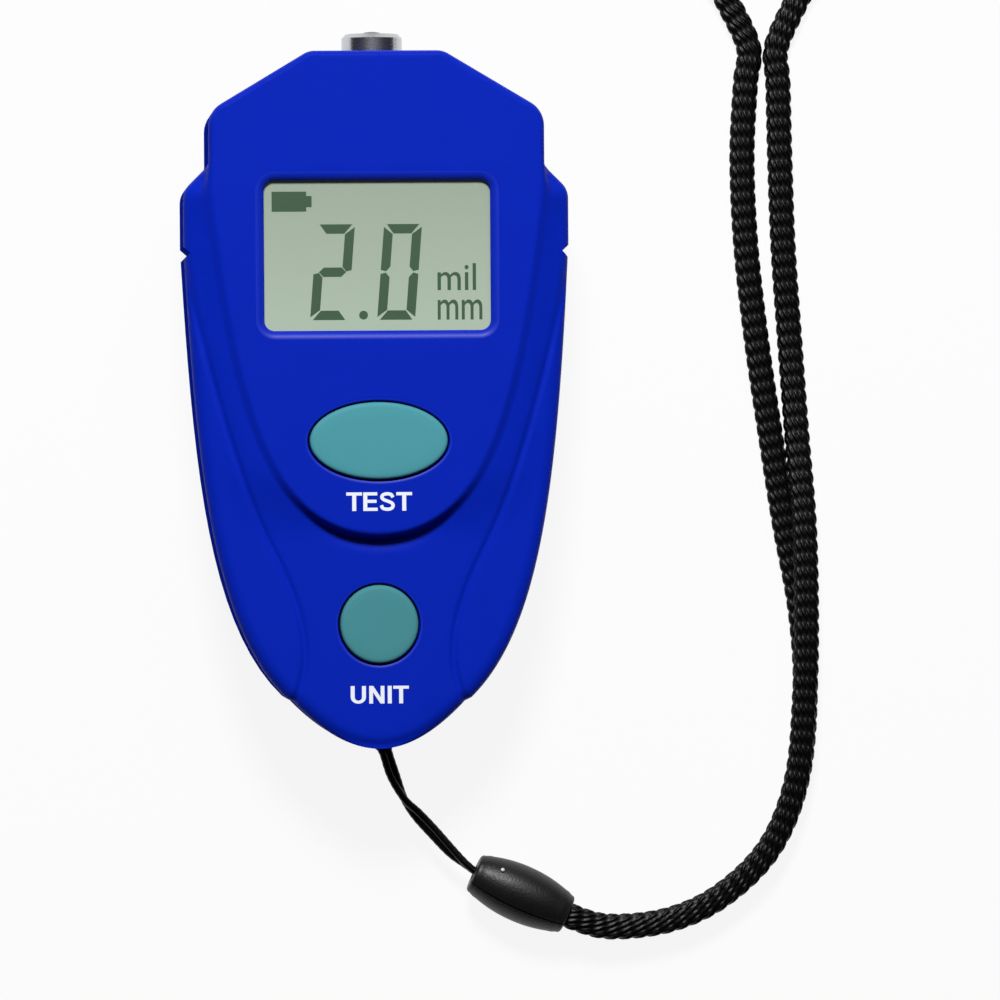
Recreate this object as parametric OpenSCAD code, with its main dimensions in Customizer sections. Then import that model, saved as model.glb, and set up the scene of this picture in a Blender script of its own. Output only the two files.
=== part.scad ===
/* [Housing] */
// Length of the housing from the nose to the flat probe end
body_len = 103; // [100:0.5:110]
// Width over the ears at the top of the grips
ear_w = 57; // [55:0.5:61]
// Width of the shoulders above the ears
shoulder_w = 49.6; // [48:0.2:51]
// Width of the flat probe end
top_w = 19.8; // [17:0.2:24]
// Height of the lower front face above the back
face_h = 23; // [22.4:0.1:25]
// Height of the shield panel above the lower front face
shield_rise = 2.3; // [1.9:0.1:3]
// Height of the parting plane between the two cases
split_h = 11.5; // [10.5:0.1:12.2]
// Wall of both cases
wall = 2; // [1.7:0.1:2.3]
// Rounding of the outer edges
edge_r = 2; // [1.6:0.1:2.4]
// Rounding of the shield panel's edge
shield_edge_r = 0.7; // [0.5:0.1:1]
// Drop of the sloping shoulders
shoulder_drop = 8.9; // [7.4:0.1:10]
// Distance from the probe end to the top of the ears
ear_drop = 16.8; // [15:0.1:18]
// Distance from the probe end to the notch under the ears
notch_drop = 29.6; // [28:0.1:32]
// Depth of the notch under the ears
notch_d = 1; // [0.6:0.1:1.3]
// Place of the shield panel's tip on the way from the round button to the display
tongue_place = 0.24; // [0.22:0.005:0.26]
// Reach of the sloping foot below the tongue
tongue_foot = 1.5; // [1:0.1:2.4]
// Width over the lower ends of the grips
step_w = 27.4; // [26:0.2:29]
// Distance from the nose to the lower ends of the grips
step_pos = 7.5; // [7:0.1:9]
// Width of the nose where it leaves the grips
nose_w = 25.4; // [24:0.2:25.8]
// Width of the grooves along the grips
groove_w = 1.5; // [1.2:0.1:2.2]
// Depth of the grooves along the grips
groove_d = 0.6; // [0.4:0.1:0.9]
// Height of the locating lip at the parting plane
lip_h = 1.2; // [0.8:0.1:1.8]

/* [Display] */
// Visible width of the display
window_w = 33.4; // [30:0.2:34]
// Visible length of the display
window_l = 22.2; // [20:0.2:23]
// Distance from the probe end to the middle of the display
window_drop = 30.2; // [29.2:0.1:31]
// Width of the sloping frame round the display
bevel_w = 0.8; // [0.6:0.1:1.2]
// Depth of the sloping frame round the display
bevel_d = 0.7; // [0.6:0.1:0.9]
// Thickness of the clear window
lens_t = 1.3; // [1.2:0.1:1.5]
// Thickness of the liquid crystal glass
glass_t = 2; // [1.6:0.1:2.4]
// Width of the conductive rubber strips
strip_w = 2; // [1.6:0.1:2.4]

/* [Buttons] */
// Width of the oval button
test_w = 20.2; // [18:0.2:21.4]
// Length of the oval button
test_l = 11.2; // [10:0.2:12]
// Place of the oval button on the way from the round button to the display
test_place = 0.4975; // [0.48:0.0025:0.51]
// Diameter of the round button
unit_d = 11.4; // [10:0.2:12]
// Distance from the nose to the round button
unit_pos = 18.4; // [17.6:0.1:19]
// Height of the button caps above the face round them
cap_rise = 0.7; // [0.6:0.1:1]
// Travel of the buttons
travel = 0.5; // [0.3:0.05:0.5]
// Gap round the button caps
cap_gap = 0.3; // [0.2:0.05:0.4]

/* [Battery] */
// Diameter of the battery cells
cell_d = 10.5; // [10:0.1:10.5]
// Length of the battery cells with their nub
cell_len = 44.5; // [43.5:0.1:45]
// Distance from the nose to the battery bay
bay_pos = 11; // [10.8:0.1:12]
// Room left for each contact spring
spring_len = 4; // [3.4:0.1:5]
// Thickness of the battery door
door_t = 1.6; // [1.4:0.1:1.8]
// Reach of the door's rails into the case
rail_w = 0.9; // [0.7:0.1:1.1]

/* [Probe] */
// Diameter of the probe sleeve
probe_d = 9; // [8:0.1:10]
// Reach of the probe beyond the housing
probe_out = 3.4; // [2.5:0.1:5]
// Diameter of the magnetic core
core_d = 3; // [2.5:0.1:3.4]

/* [Board and fasteners] */
// Thickness of the circuit board
board_t = 1.6; // [1.2:0.1:1.6]
// Diameter of the case screws
screw_d = 2.2; // [2:0.1:2.4]
// Diameter of the screw bosses
boss_d = 5.2; // [4.8:0.1:5.4]

/* [Wrist strap] */
// Length of the bead
bead_len = 15; // [13.6:0.2:16]
// Diameter of the bead at its middle
bead_d = 8.2; // [7.6:0.1:8.6]
// Width of the knitted strap
strap_w = 4; // [3.4:0.1:4.1]
// Thickness of the knitted strap
strap_t = 2.3; // [2:0.1:2.4]
// Diameter of the thread
thread_d = 0.95; // [0.7:0.05:1]

/* [Hidden] */
$fn = 48;

// A hair of overlap that keeps cuts and joins clean
hair = 0.5;
// Running gap between pieces that slide or drop in
fit = 0.15;
// Gap between pieces that are pressed or screwed together
snug = 0.05;
// Thickness of a section that only guides a hull
film = 0.01;

// Colours
blue = [0.06, 0.15, 0.72];
teal = [0.29, 0.6, 0.62];
steel = [0.75, 0.76, 0.78];
black = [0.05, 0.05, 0.055];

// Lengths and heights that follow from the sizes above
overall_len = body_len + probe_out;
shield_h = face_h + shield_rise;
face_in = face_h - wall;
roof_in = shield_h - wall;
corner_more = 0.4;
plan_more = 1.2;
top_r = edge_r + plan_more;
ear_r = edge_r + plan_more;
shoulder_r = 4;
ear_inner_r = 1;
notch_l = 1.8;
step_drop = 0.5;
shoulder_half = shoulder_w / 2;
ear_half = ear_w / 2;
ear_pos = body_len - ear_drop;
notch_pos = body_len - notch_drop;
window_pos = body_len - window_drop;
test_pos = unit_pos + test_place * (window_pos - unit_pos);
tongue_pos = unit_pos + tongue_place * (window_pos - unit_pos);
// The lower front loft stays this far inside the shield panel at the shoulders
tuck = 0.6;
edge_steps = 4;
shield_steps = 3;

// Battery bay
plate_t = 0.4;
plate_half = 4;
tab_half = 1;
bay_gap = 0.3;
bay_wall = 1.2;
bay_half = cell_d + bay_gap / 2;
bay_len = 2 * plate_t + spring_len + cell_len;
bay_end = bay_pos + bay_len;
cell_h = door_t + bay_gap + cell_d / 2;
bay_in = cell_h + cell_d / 2 + bay_gap;
bay_top = bay_in + bay_wall;
nub_d = 3.8;
nub_len = 0.8;

// Battery door
door_lap = 0.4;
door_over = 0.8;
door_half = bay_half + door_lap;
door_end = bay_end + door_over;
rail_t = 0.8;
rail_setback = 3;
rail_start = bay_pos + rail_setback;
rail_end = door_end - rail_setback;
door_lift = door_t + fit;
channel_half = door_half + rail_w + fit;
pad_half = channel_half + bay_wall;
pad_h = door_lift + bay_wall;

// Circuit board
board_clear = 1.1;
board_over = 0.8;
board_reach = 15.7;
board_h = bay_top + board_clear;
board_top = board_h + board_t;
board_low = bay_pos - board_over;
board_high = window_pos + board_reach;
board_low_half = 12.4;
board_mid_half = 16.6;
board_high_half = 19.6;
post_d = 4;

// Display stack
lens_lap = 1.3;
lens_r = 2;
window_r = 1.5;
bevel_r = 2.4;
stack_gap = 0.1;
lens_top = shield_h - bevel_d;
lens_low = lens_top - lens_t;
glass_top = lens_low - stack_gap;
glass_low = glass_top - glass_t;
glass_side = 1.5;
glass_edge = 1.9;
glass_r = 0.6;
glass_w = window_w + 2 * glass_side;
glass_l = window_l + 2 * glass_edge;
frame_lap = 0.6;
frame_w = glass_w + 2 * frame_lap;
frame_l = glass_l + 2 * frame_lap;
frame_rim = 5;
frame_hole_w = glass_w - 2 * frame_rim;
frame_hole_l = glass_l - 2 * frame_rim;
strip_short = 2;
strip_inset = 1.5;
strip_l = glass_w - 2 * strip_short;
strip_off = glass_l / 2 - strip_inset;
chip_w = 10;
chip_t = 1.5;

// Buttons
flange_lap = 0.9;
flange_t = 1;
stem_d = 3;
switch_w = 6;
switch_t = 2;
stem_spare = 0.2;
stem_out = travel + stem_spare;
stem_top = board_top + switch_t + stem_out;
stem_low = board_top + travel + stack_gap;
post_w = 3;
// Crown of the button caps: distances in from the edge and down from the top
cap_crown = [[0, 0.6], [0.15, 0.25], [0.6, 0.05], [2.5, 0]];

// Screws
head_d = 4.2;
head_t = 1.7;
head_seat = 3;
case_screw_len = 16;
board_screw_len = 4.5;
board_head_t = 1;
board_head_d = 3.6;
boss_drop = 11.5;
post_drop = 17.9;
screw_slot = 0.5;
pilot_less = 0.4;
case_screw_low = [16, 22];
case_screw_high = [17, body_len - boss_drop];
board_screw_low = [14.4, 33];
board_screw_high = [17.4, window_pos - post_drop];

// Probe
probe_h = split_h;
flange_lip = 1.25;
flange_d = probe_d + 2 * flange_lip;
flange_len = 1.5;
flange_pos = body_len - wall - flange_len - stack_gap;
sleeve_in = 8;
sleeve_pos = body_len - sleeve_in;
sleeve_wall = 0.7;
sleeve_cap = 1;
sleeve_chamfer = 0.6;
tip_out = 0.4;
sleeve_end = overall_len - tip_out;
bobbin_step = 1;
bobbin_gap = 0.3;
bobbin_wall = 0.6;
bobbin_pos = sleeve_pos + bobbin_step;
bobbin_end = sleeve_end - sleeve_cap - bobbin_gap;
bobbin_d = probe_d - 2 * sleeve_wall - 2 * snug;
bobbin_hub_d = core_d + 2 * bobbin_wall;
bobbin_flange = 0.8;
coil_inset = 0.25;
lead_d = 0.6;
lead_x = 1.6;
lead_rise = 2.7;
cradle_wall = 2;
cradle_step = 0.6;

// Eye for the wrist strap
eye_post_d = 2.4;
eye_pos = 3.2;
eye_half = 2.6;
eye_low = 4;
eye_high = 8.4;
eye_lip = 0.8;
eye_shelf = 1.4;

// Bead
bead_pos = [21.8, -22.4];
bead_turn = -25;
bead_roll = 32;
bead_end_r = 0.5;
bead_land = 0.1;
bead_clear = 0.4;
bead_h = bead_d / 2 + bead_land;
bead_bore_r = strap_t + bead_clear;
bead_end_d = 2 * (bead_bore_r + bead_end_r + bead_land);
bead_thread_r = 1.2;
bead_cap = 2.4;
bead_seam = 2;

// Route of the doubled thread, from the bead round the eye's post and back
thread_route = [
    [19.6, -21.4, 4.63], [17.6, -20.45, 4.63], [15.6, -19.42, 4.65], [13.7, -17.9, 4.75], [11.7, -15.75, 4.85],
    [9.05, -12.7, 5.1], [6.6, -10.1, 5.45], [4.44, -8.05, 5.75], [2.35, -4.6, 6.1], [1.15, -1, 6.35],
    [0.3, 0.1, 6.2], [-1.25, 1.7, 6.2], [-1.85, 3.2, 6.2], [-1.31, 4.51, 6.2], [0, 5.05, 6.2],
    [1.31, 4.51, 6.2], [1.85, 3.2, 6.2], [1.9, 1.6, 6.2], [2.05, 0.2, 6.2], [2.1, -1, 5.95],
    [3.2, -4.4, 5.5], [4.44, -8.05, 4.68], [6, -10.6, 4.45], [8.38, -13.3, 4.25], [11.2, -16.25, 4],
    [13.6, -18, 3.65], [15.6, -19.42, 3.57], [17.6, -20.45, 3.57], [19.6, -21.4, 3.57]
];
// Route of the knitted strap, from the bead round the wrist loop and back
strap_route = [
    [25, -23.9, 2.9], [29, -25.75, 2.85], [35.3, -27.6, 1.9], [44.5, -26.6, 1.3], [52.6, -22.8, 1.3],
    [59.7, -15.7, 1.3], [63.8, -5.6, 1.3], [65.1, 7.6, 1.3], [64.4, 19.8, 1.3], [62.1, 32.9, 1.3],
    [60.1, 46.1, 1.3], [58.1, 60.3, 1.3], [56.6, 74.5, 1.3], [56.1, 87.7, 1.3], [56.7, 98.9, 1.3],
    [57.2, 104.4, 1.3], [54, 111.5, 1.3], [50.9, 117.6, 1.3], [53.2, 124.4, 1.3], [59.3, 127, 1.3],
    [65.4, 124.4, 1.3], [67.7, 117.6, 1.3], [64.6, 111.5, 1.3], [61.4, 104.4, 1.3], [61.6, 98.9, 1.3],
    [61.8, 87.7, 1.3], [62.2, 74.5, 1.3], [63.1, 60.3, 1.3], [64, 46.1, 2.1], [64.9, 33, 3.2],
    [65.1, 19.8, 3.8], [64.8, 7.6, 3.9], [63.5, -5.5, 3.9], [59.5, -15.6, 3.9], [52.4, -22.7, 3.9],
    [44.3, -26.5, 3.9], [35.1, -27.4, 4.5], [29, -25.75, 5.3], [25, -23.9, 5.3]
];

// Plane curves: each entry is a point and its outward normal
function unit(v) = v / norm(v);
function left_of(v) = [-v[1], v[0]];
function spun(v, a) = [v[0] * cos(a) - v[1] * sin(a), v[0] * sin(a) + v[1] * cos(a)];
function bezier(c, t) =
    pow(1 - t, 3) * c[0] + 3 * pow(1 - t, 2) * t * c[1] + 3 * (1 - t) * t * t * c[2] + pow(t, 3) * c[3];
function bezier_dir(c, t) =
    unit(pow(1 - t, 2) * (c[1] - c[0]) + 2 * (1 - t) * t * (c[2] - c[1]) + t * t * (c[3] - c[2]));
function bezier_run(c, count, stop = 1) = [
    for (i = [0:count])
        let (t = stop * i / count)
        [bezier(c, t), left_of(bezier_dir(c, t))]
];
// A rounded corner at p on the way from a to b
function corner_run(a, p, b, r, count) =
    let (
        into = unit(p - a),
        out = unit(b - p),
        bend = acos(into * out),
        side = sign(into[0] * out[1] - into[1] * out[0]),
        start = p - into * r * tan(bend / 2),
        centre = start + side * r * left_of(into)
    )
    [
        for (i = [0:count])
            let (n = left_of(spun(into, side * bend * i / count)))
            [centre - side * r * n, n]
    ];
// Right half of an oval, from its top to its bottom
function oval_half(w, l, count) = [
    for (i = [0:count - 1])
        let (a = 90 - 180 * (i + 0.5) / count, n = unit([cos(a) / w, sin(a) / l]))
        [[w / 2 * cos(a), l / 2 * sin(a)], n]
];

// Right half of the housing's outline, from the probe end down to the nose
function shoulder_run(slim) =
    let (
        top = [top_w / 2, body_len - slim],
        shoulder = [shoulder_half - slim, body_len - shoulder_drop - slim],
        below = [shoulder_half - slim, ear_pos]
    )
    concat(
        corner_run([0, body_len - slim], top, shoulder, top_r, 4),
        corner_run(top, shoulder, below, shoulder_r, 6)
    );
grip_curve = [
    [ear_half - 0.1, notch_pos - notch_l / 2],
    [ear_half - 1.84, notch_pos * 0.556],
    [ear_half - 4.1, step_pos + 10.4],
    [step_w / 2, step_pos]
];
nose_curve = [
    [nose_w / 2, step_pos - step_drop],
    [nose_w * 0.326, (step_pos - step_drop) / 3],
    [nose_w * 0.159, 0],
    [0, 0]
];
function housing_half(slim) =
    let (
        shoulder = [shoulder_half - slim, body_len - shoulder_drop],
        ear_in = [shoulder_half - slim, ear_pos + slim],
        ear_out = [ear_half, ear_pos - (ear_half - shoulder_half)]
    )
    concat(
        shoulder_run(slim),
        corner_run(shoulder, ear_in, ear_out, ear_inner_r, 2),
        corner_run(ear_in, ear_out, [ear_half, notch_pos], ear_r, 5),
        [[[ear_half, notch_pos + notch_l / 2], [1, 0]], [[ear_half - notch_d, notch_pos], [1, 0]]],
        bezier_run(grip_curve, 18),
        bezier_run(nose_curve, 11, 0.96)
    );
// Right half of the shield panel's outline, down to the tip of its tongue
tongue_curve = [
    [shoulder_half, ear_pos - 4.2],
    [shoulder_half * 0.84, tongue_pos + 17.4],
    [shoulder_half * 0.635, tongue_pos],
    [0, tongue_pos]
];
shield_half = concat(shoulder_run(0), bezier_run(tongue_curve, 22, 0.975));
function foot_reach(x) = abs(x) < 14 ? tongue_foot * pow(1 - pow(x / 14, 2), 2) : 0;
shield_foot = [
    for (e = shield_half)
        [e[0] - [0, e[0][1] < body_len / 2 ? foot_reach(e[0][0]) : 0], e[1]]
];
// Course of the groove along the right grip, in two stretches
groove_high = [
    [ear_half + 0.3, notch_pos + 0.1],
    [ear_half - 2.3, notch_pos - 12.4],
    [21.3, 40.7],
    [15.9, 30]
];
groove_low = [
    [15.9, 30],
    [11.4, 21.2],
    [8.8, step_pos + 5.5],
    [nose_w / 2 + 0.6, step_pos - 1.5]
];

// Rings and lofts of a half outline and its mirror image
function inset_point(e, inset) = e[0] - inset * e[1];
function ring(half, inset, z) = concat(
    [for (e = half) let (p = inset_point(e, inset)) [p[0], p[1], z]],
    [for (i = [len(half) - 1:-1:0]) let (p = inset_point(half[i], inset)) [-p[0], p[1], z]]
);
function outline(half, inset) = [for (p = ring(half, inset, 0)) [p[0], p[1]]];
module loft(rings) {
    n = len(rings[0]);
    last = (len(rings) - 1) * n;
    sides = [
        for (k = [0:len(rings) - 2], i = [0:n - 1])
            let (j = (i + 1) % n, a = k * n)
            each [[a + i, a + j, a + n + j], [a + i, a + n + j, a + n + i]]
    ];
    floor_faces = [
        for (i = [0:n / 2 - 2])
            each [[n - 1 - i, n - 2 - i, i + 1], [n - 1 - i, i + 1, i]]
    ];
    roof_faces = [
        for (i = [0:n / 2 - 2])
            each [[last + i, last + i + 1, last + n - 2 - i], [last + i, last + n - 2 - i, last + n - 1 - i]]
    ];
    polyhedron([for (r = rings) each r], concat(sides, floor_faces, roof_faces));
}
// Rings of a rounded edge that ends at height z, turned up or down
function edge_rings(half, r, z, steps, up) = [
    for (i = [0:steps])
        let (a = 90 * i / steps)
        ring(half, r * (1 - cos(a)), up ? z - r + r * sin(a) : z + r - r * sin(a))
];
function backwards(list) = [for (i = [len(list) - 1:-1:0]) list[i]];

// A tube swept along a route, with an oval section
module sweep(route, w, t, sides) {
    n = len(route);
    function along(i) = unit(route[min(i + 1, n - 1)] - route[max(i - 1, 0)]);
    function across(i) = unit(cross([0, 0, 1], along(i)));
    points = [
        for (i = [0:n - 1], k = [0:sides - 1])
            let (a = 360 * (k + 0.5) / sides, x = across(i), u = cross(along(i), x))
            route[i] + x * w / 2 * cos(a) + u * t / 2 * sin(a)
    ];
    skin = [
        for (i = [0:n - 2], k = [0:sides - 1])
            let (j = (k + 1) % sides, a = i * sides, b = a + sides)
            each [[a + k, b + k, b + j], [a + k, b + j, a + j]]
    ];
    near_end = [for (k = [0:sides - 1]) k];
    far_end = [for (k = [sides - 1:-1:0]) (n - 1) * sides + k];
    polyhedron(points, concat(skin, [near_end, far_end]));
}
// A V-shaped cut along a plane curve, with its lips at height z
module groove_cut(z) {
    course = concat(bezier_run(groove_high, 14), [for (i = [1:12]) bezier_run(groove_low, 12)[i]]);
    lift = 0.4;
    half_w = groove_w / 2 * (1 + lift / groove_d);
    points = [
        for (e = course)
            each [
                [e[0][0] + e[1][0] * half_w, e[0][1] + e[1][1] * half_w, z + lift],
                [e[0][0] - e[1][0] * half_w, e[0][1] - e[1][1] * half_w, z + lift],
                [e[0][0], e[0][1], z - groove_d]
            ]
    ];
    n = len(course);
    skin = [
        for (i = [0:n - 2], k = [0:2])
            let (j = (k + 1) % 3, a = i * 3, b = a + 3)
            each [[a + k, b + k, b + j], [a + k, b + j, a + j]]
    ];
    polyhedron(points, concat(skin, [[0, 1, 2], [3 * n - 1, 3 * n - 2, 3 * n - 3]]));
}

// Small shared shapes
module from_nose() {
    translate([0, -overall_len / 2, 0])
        children();
}
module both_sides() {
    children();
    mirror([1, 0, 0])
        children();
}
module at(p, z) {
    translate([p[0], p[1], z])
        children();
}
module block(half_w, y0, y1, z0, z1) {
    translate([-half_w, y0, z0])
        cube([2 * half_w, y1 - y0, z1 - z0]);
}
module rounded_plate(w, l, r, h) {
    linear_extrude(h)
        polygon([
            for (q = [0:3], i = [0:6])
                let (a = 90 * q + 15 * i, sx = q == 0 || q == 3 ? 1 : -1, sy = q < 2 ? 1 : -1)
                [sx * (w / 2 - r) + r * cos(a), sy * (l / 2 - r) + r * sin(a)]
        ]);
}
module along_probe(pos) {
    translate([0, pos, probe_h])
        rotate([-90, 0, 0])
            children();
}
module probe_room() {
    along_probe(sleeve_pos - 3)
        cylinder(d = probe_d + 2 * snug, h = overall_len);
    along_probe(flange_pos - fit)
        cylinder(d = flange_d + 2 * fit, h = flange_len + 2 * fit);
}
module cradle(z0, z1) {
    near = sleeve_pos + cradle_step;
    block(probe_d / 2 + cradle_wall, near, near + cradle_wall, z0, z1);
}
module case_bosses(z0, z_low, z_high) {
    both_sides() {
        at(case_screw_low, z0)
            cylinder(d = boss_d, h = z_low - z0);
        at(case_screw_high, z0)
            cylinder(d = boss_d, h = z_high - z0);
    }
}
module case_screw_places(z) {
    both_sides() {
        at(case_screw_low, z)
            children();
        at(case_screw_high, z)
            children();
    }
}
module board_screw_places(z) {
    both_sides() {
        at(board_screw_low, z)
            children();
        at(board_screw_high, z)
            children();
    }
}

// Front case: lower face with rounded edges, raised shield panel and grip grooves
module front_skin() {
    loft(concat(
        [ring(housing_half(tuck), 0, split_h - hair)],
        edge_rings(housing_half(tuck), edge_r, face_h, edge_steps, true)
    ));
    loft(concat(
        [ring(shield_foot, 0, split_h - hair), ring(shield_foot, 0, face_h - stack_gap)],
        edge_rings(shield_half, shield_edge_r, shield_h, shield_steps, true)
    ));
}
module front_hollow() {
    translate([0, 0, split_h - hair])
        linear_extrude(face_in - split_h + hair)
            polygon(outline(housing_half(0), wall));
    translate([0, 0, face_in - hair])
        linear_extrude(roof_in - face_in + hair)
            polygon(outline(shield_half, wall + corner_more));
}
module window_cut() {
    translate([0, window_pos, lens_low - hair])
        rounded_plate(
            window_w + 2 * lens_lap + 2 * fit, window_l + 2 * lens_lap + 2 * fit, lens_r, lens_t + hair
        );
    slope = bevel_w / bevel_d;
    over = 2 * slope * hair;
    translate([0, window_pos, lens_top - hair])
        rounded_plate(window_w, window_l, window_r, bevel_d + hair);
    hull() {
        translate([0, window_pos, lens_top])
            rounded_plate(window_w, window_l, window_r, film);
        translate([0, window_pos, shield_h + hair])
            rounded_plate(window_w + 2 * bevel_w + over, window_l + 2 * bevel_w + over, bevel_r, film);
    }
}
module front_case() {
    color(blue)
        from_nose()
            difference() {
                union() {
                    difference() {
                        front_skin();
                        translate([-ear_w, -ear_w, split_h - ear_w])
                            cube([2 * ear_w, 3 * ear_w, ear_w]);
                        front_hollow();
                    }
                    case_bosses(split_h, face_in + hair, roof_in + hair);
                    both_sides() {
                        at(board_screw_low, board_top)
                            cylinder(d = post_d, h = face_in + hair - board_top);
                        at(board_screw_high, board_top)
                            cylinder(d = post_d, h = roof_in + hair - board_top);
                    }
                    cradle(split_h, roof_in + hair);
                }
                window_cut();
                translate([0, test_pos, face_in])
                    linear_extrude(shield_rise + wall + hair)
                        polygon(outline(oval_half(test_w, test_l, 24), -cap_gap));
                translate([0, unit_pos, face_in - hair])
                    cylinder(d = unit_d + 2 * cap_gap, h = wall + 2 * hair);
                both_sides()
                    groove_cut(face_h);
                case_screw_places(split_h - hair)
                    cylinder(d = screw_d + 2 * snug, h = head_seat + case_screw_len + 2 * hair - split_h);
                board_screw_places(board_top - hair)
                    cylinder(d = screw_d - pilot_less + 2 * snug, h = board_screw_len);
                probe_room();
            }
}

// Rear case: rounded back, battery bay, screw bosses and strap eye
module rear_hollow() {
    difference() {
        translate([0, 0, wall])
            linear_extrude(split_h)
                polygon(outline(housing_half(0), wall));
        block(pad_half, 0, door_end + bay_wall, 0, pad_h);
    }
}
module locating_lip() {
    lip_t = 0.8;
    lip_root = 0.3;
    lip_deep = 2;
    translate([0, 0, split_h - lip_deep])
        linear_extrude(lip_deep)
            difference() {
                polygon(outline(housing_half(0), wall - lip_root));
                polygon(outline(housing_half(0), wall + fit + lip_t));
            }
    translate([0, 0, split_h - hair])
        linear_extrude(lip_h + hair)
            difference() {
                polygon(outline(housing_half(0), wall + fit));
                polygon(outline(housing_half(0), wall + fit + lip_t));
            }
}
module strap_eye() {
    block(eye_half + eye_lip, wall / 2, eye_pos + eye_shelf, eye_high, eye_high + eye_shelf);
    translate([0, eye_pos, pad_h - hair])
        cylinder(d = eye_post_d, h = eye_high + 2 * hair - pad_h);
}
module door_channel() {
    block(door_half + fit, -hair, door_end + fit, -hair, door_lift);
    block(channel_half, -hair, rail_end + fit, door_t - rail_t - fit, door_lift);
}
module contact_slots() {
    for (side = [-1, 1])
        translate([side * cell_d / 2, 0, 0])
            block(tab_half + fit, bay_pos - hair, bay_pos + plate_t + fit, bay_in - hair, bay_top + hair);
}
module rear_case() {
    color(blue)
        from_nose()
            difference() {
                union() {
                    difference() {
                        loft(concat(
                            backwards(edge_rings(housing_half(0), edge_r, 0, edge_steps, false)),
                            [ring(housing_half(0), 0, split_h)]
                        ));
                        rear_hollow();
                    }
                    block(bay_half + bay_wall, bay_pos - bay_wall, bay_end + bay_wall, wall / 2, bay_top);
                    locating_lip();
                    case_bosses(wall / 2, split_h, split_h);
                    cradle(wall / 2, split_h);
                    strap_eye();
                }
                block(bay_half, bay_pos, bay_end, -hair, bay_in);
                door_channel();
                contact_slots();
                difference() {
                    block(eye_half, -hair, eye_pos, eye_low, eye_high);
                    translate([0, eye_pos, 0])
                        cylinder(d = eye_post_d, h = split_h);
                }
                case_screw_places(-hair) {
                    cylinder(d = head_d + 2 * fit, h = head_seat + hair);
                    cylinder(d = screw_d + 2 * fit, h = split_h + 2 * hair);
                }
                probe_room();
            }
}

// Battery door: the lower back of the housing, with rails and a thumb grip
module battery_door() {
    ridge_w = 0.8;
    ridge_pitch = 1.8;
    ridge_d = 0.5;
    ridge_half = 6;
    ridge_low = bay_end - 14;
    color(blue * 0.95)
        from_nose()
            difference() {
                union() {
                    intersection() {
                        loft(concat(
                            backwards(edge_rings(housing_half(0), edge_r, 0, edge_steps, false)),
                            [ring(housing_half(0), 0, split_h)]
                        ));
                        block(door_half, -hair, door_end, 0, door_t);
                    }
                    block(door_half + rail_w, rail_start, rail_end, door_t - rail_t, door_t);
                }
                for (i = [0:5])
                    translate([0, ridge_low + i * ridge_pitch, 0])
                        block(ridge_half, 0, ridge_w, -hair, ridge_d);
            }
}

// Display
module display_window() {
    color([0.8, 0.88, 0.86, 0.4])
        from_nose()
            translate([0, window_pos, lens_low])
                rounded_plate(window_w + 2 * lens_lap, window_l + 2 * lens_lap, lens_r - fit, lens_t);
}
module lcd_glass() {
    color([0.66, 0.73, 0.64])
        from_nose()
            translate([0, window_pos, glass_low])
                rounded_plate(glass_w, glass_l, glass_r, glass_t);
}
module lcd_frame() {
    color([0.85, 0.85, 0.82])
        from_nose()
            difference() {
                block(frame_w / 2, window_pos - frame_l / 2, window_pos + frame_l / 2, board_top, glass_low);
                block(
                    frame_hole_w / 2, window_pos - frame_hole_l / 2, window_pos + frame_hole_l / 2,
                    board_top - hair, glass_low + hair
                );
                for (side = [-1, 1])
                    translate([0, window_pos + side * strip_off, 0])
                        block(
                            strip_l / 2 + fit, -strip_w / 2 - fit, strip_w / 2 + fit,
                            board_top - hair, glass_low + hair
                        );
            }
}
module rubber_strips() {
    color([0.9, 0.55, 0.6])
        from_nose()
            for (side = [-1, 1])
                translate([0, window_pos + side * strip_off, 0])
                    block(strip_l / 2, -strip_w / 2, strip_w / 2, board_top, glass_low);
}

// Circuit board
module circuit_board() {
    half = [
        [board_low_half, board_low], [board_low_half, board_screw_low[1] - 6.5],
        [board_mid_half, board_screw_low[1] - 4], [board_mid_half, board_screw_high[1] - 8],
        [board_high_half, board_screw_high[1] - 4], [board_high_half, board_high]
    ];
    color([0.05, 0.35, 0.2])
        from_nose()
            difference() {
                translate([0, 0, board_h])
                    linear_extrude(board_t)
                        polygon(concat(half, [for (p = backwards(half)) [-p[0], p[1]]]));
                board_screw_places(board_h - hair)
                    cylinder(d = screw_d, h = board_t + 2 * hair);
            }
}
module controller_chip() {
    color(black)
        from_nose()
            translate([0, window_pos, 0])
                block(chip_w / 2, -chip_w / 2, chip_w / 2, board_top, board_top + chip_t);
}

// Buttons and their switches
module test_button() {
    half = oval_half(test_w, test_l, 24);
    top = shield_h + cap_rise;
    flange_top = roof_in - stack_gap;
    color(teal)
        from_nose()
            translate([0, test_pos, 0])
                union() {
                    loft(concat(
                        [ring(half, 0, flange_top - flange_t / 2)],
                        [for (c = cap_crown) ring(half, c[0], top - c[1])]
                    ));
                    translate([0, 0, flange_top - flange_t])
                        linear_extrude(flange_t)
                            polygon(outline(half, -flange_lap));
                    translate([0, 0, stem_top])
                        cylinder(d = post_w, h = flange_top - stem_top - flange_t / 2);
                }
}
module unit_button() {
    top = face_h + cap_rise;
    flange_top = face_in - stack_gap;
    r = unit_d / 2;
    color(teal)
        from_nose()
            translate([0, unit_pos, 0])
                rotate_extrude()
                    polygon(concat(
                        [
                            [0, stem_top], [post_w / 2, stem_top], [post_w / 2, flange_top - flange_t],
                            [r + flange_lap, flange_top - flange_t], [r + flange_lap, flange_top], [r, flange_top]
                        ],
                        [for (c = cap_crown) [r - c[0], top - c[1]]],
                        [[0, top]]
                    ));
}
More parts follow.
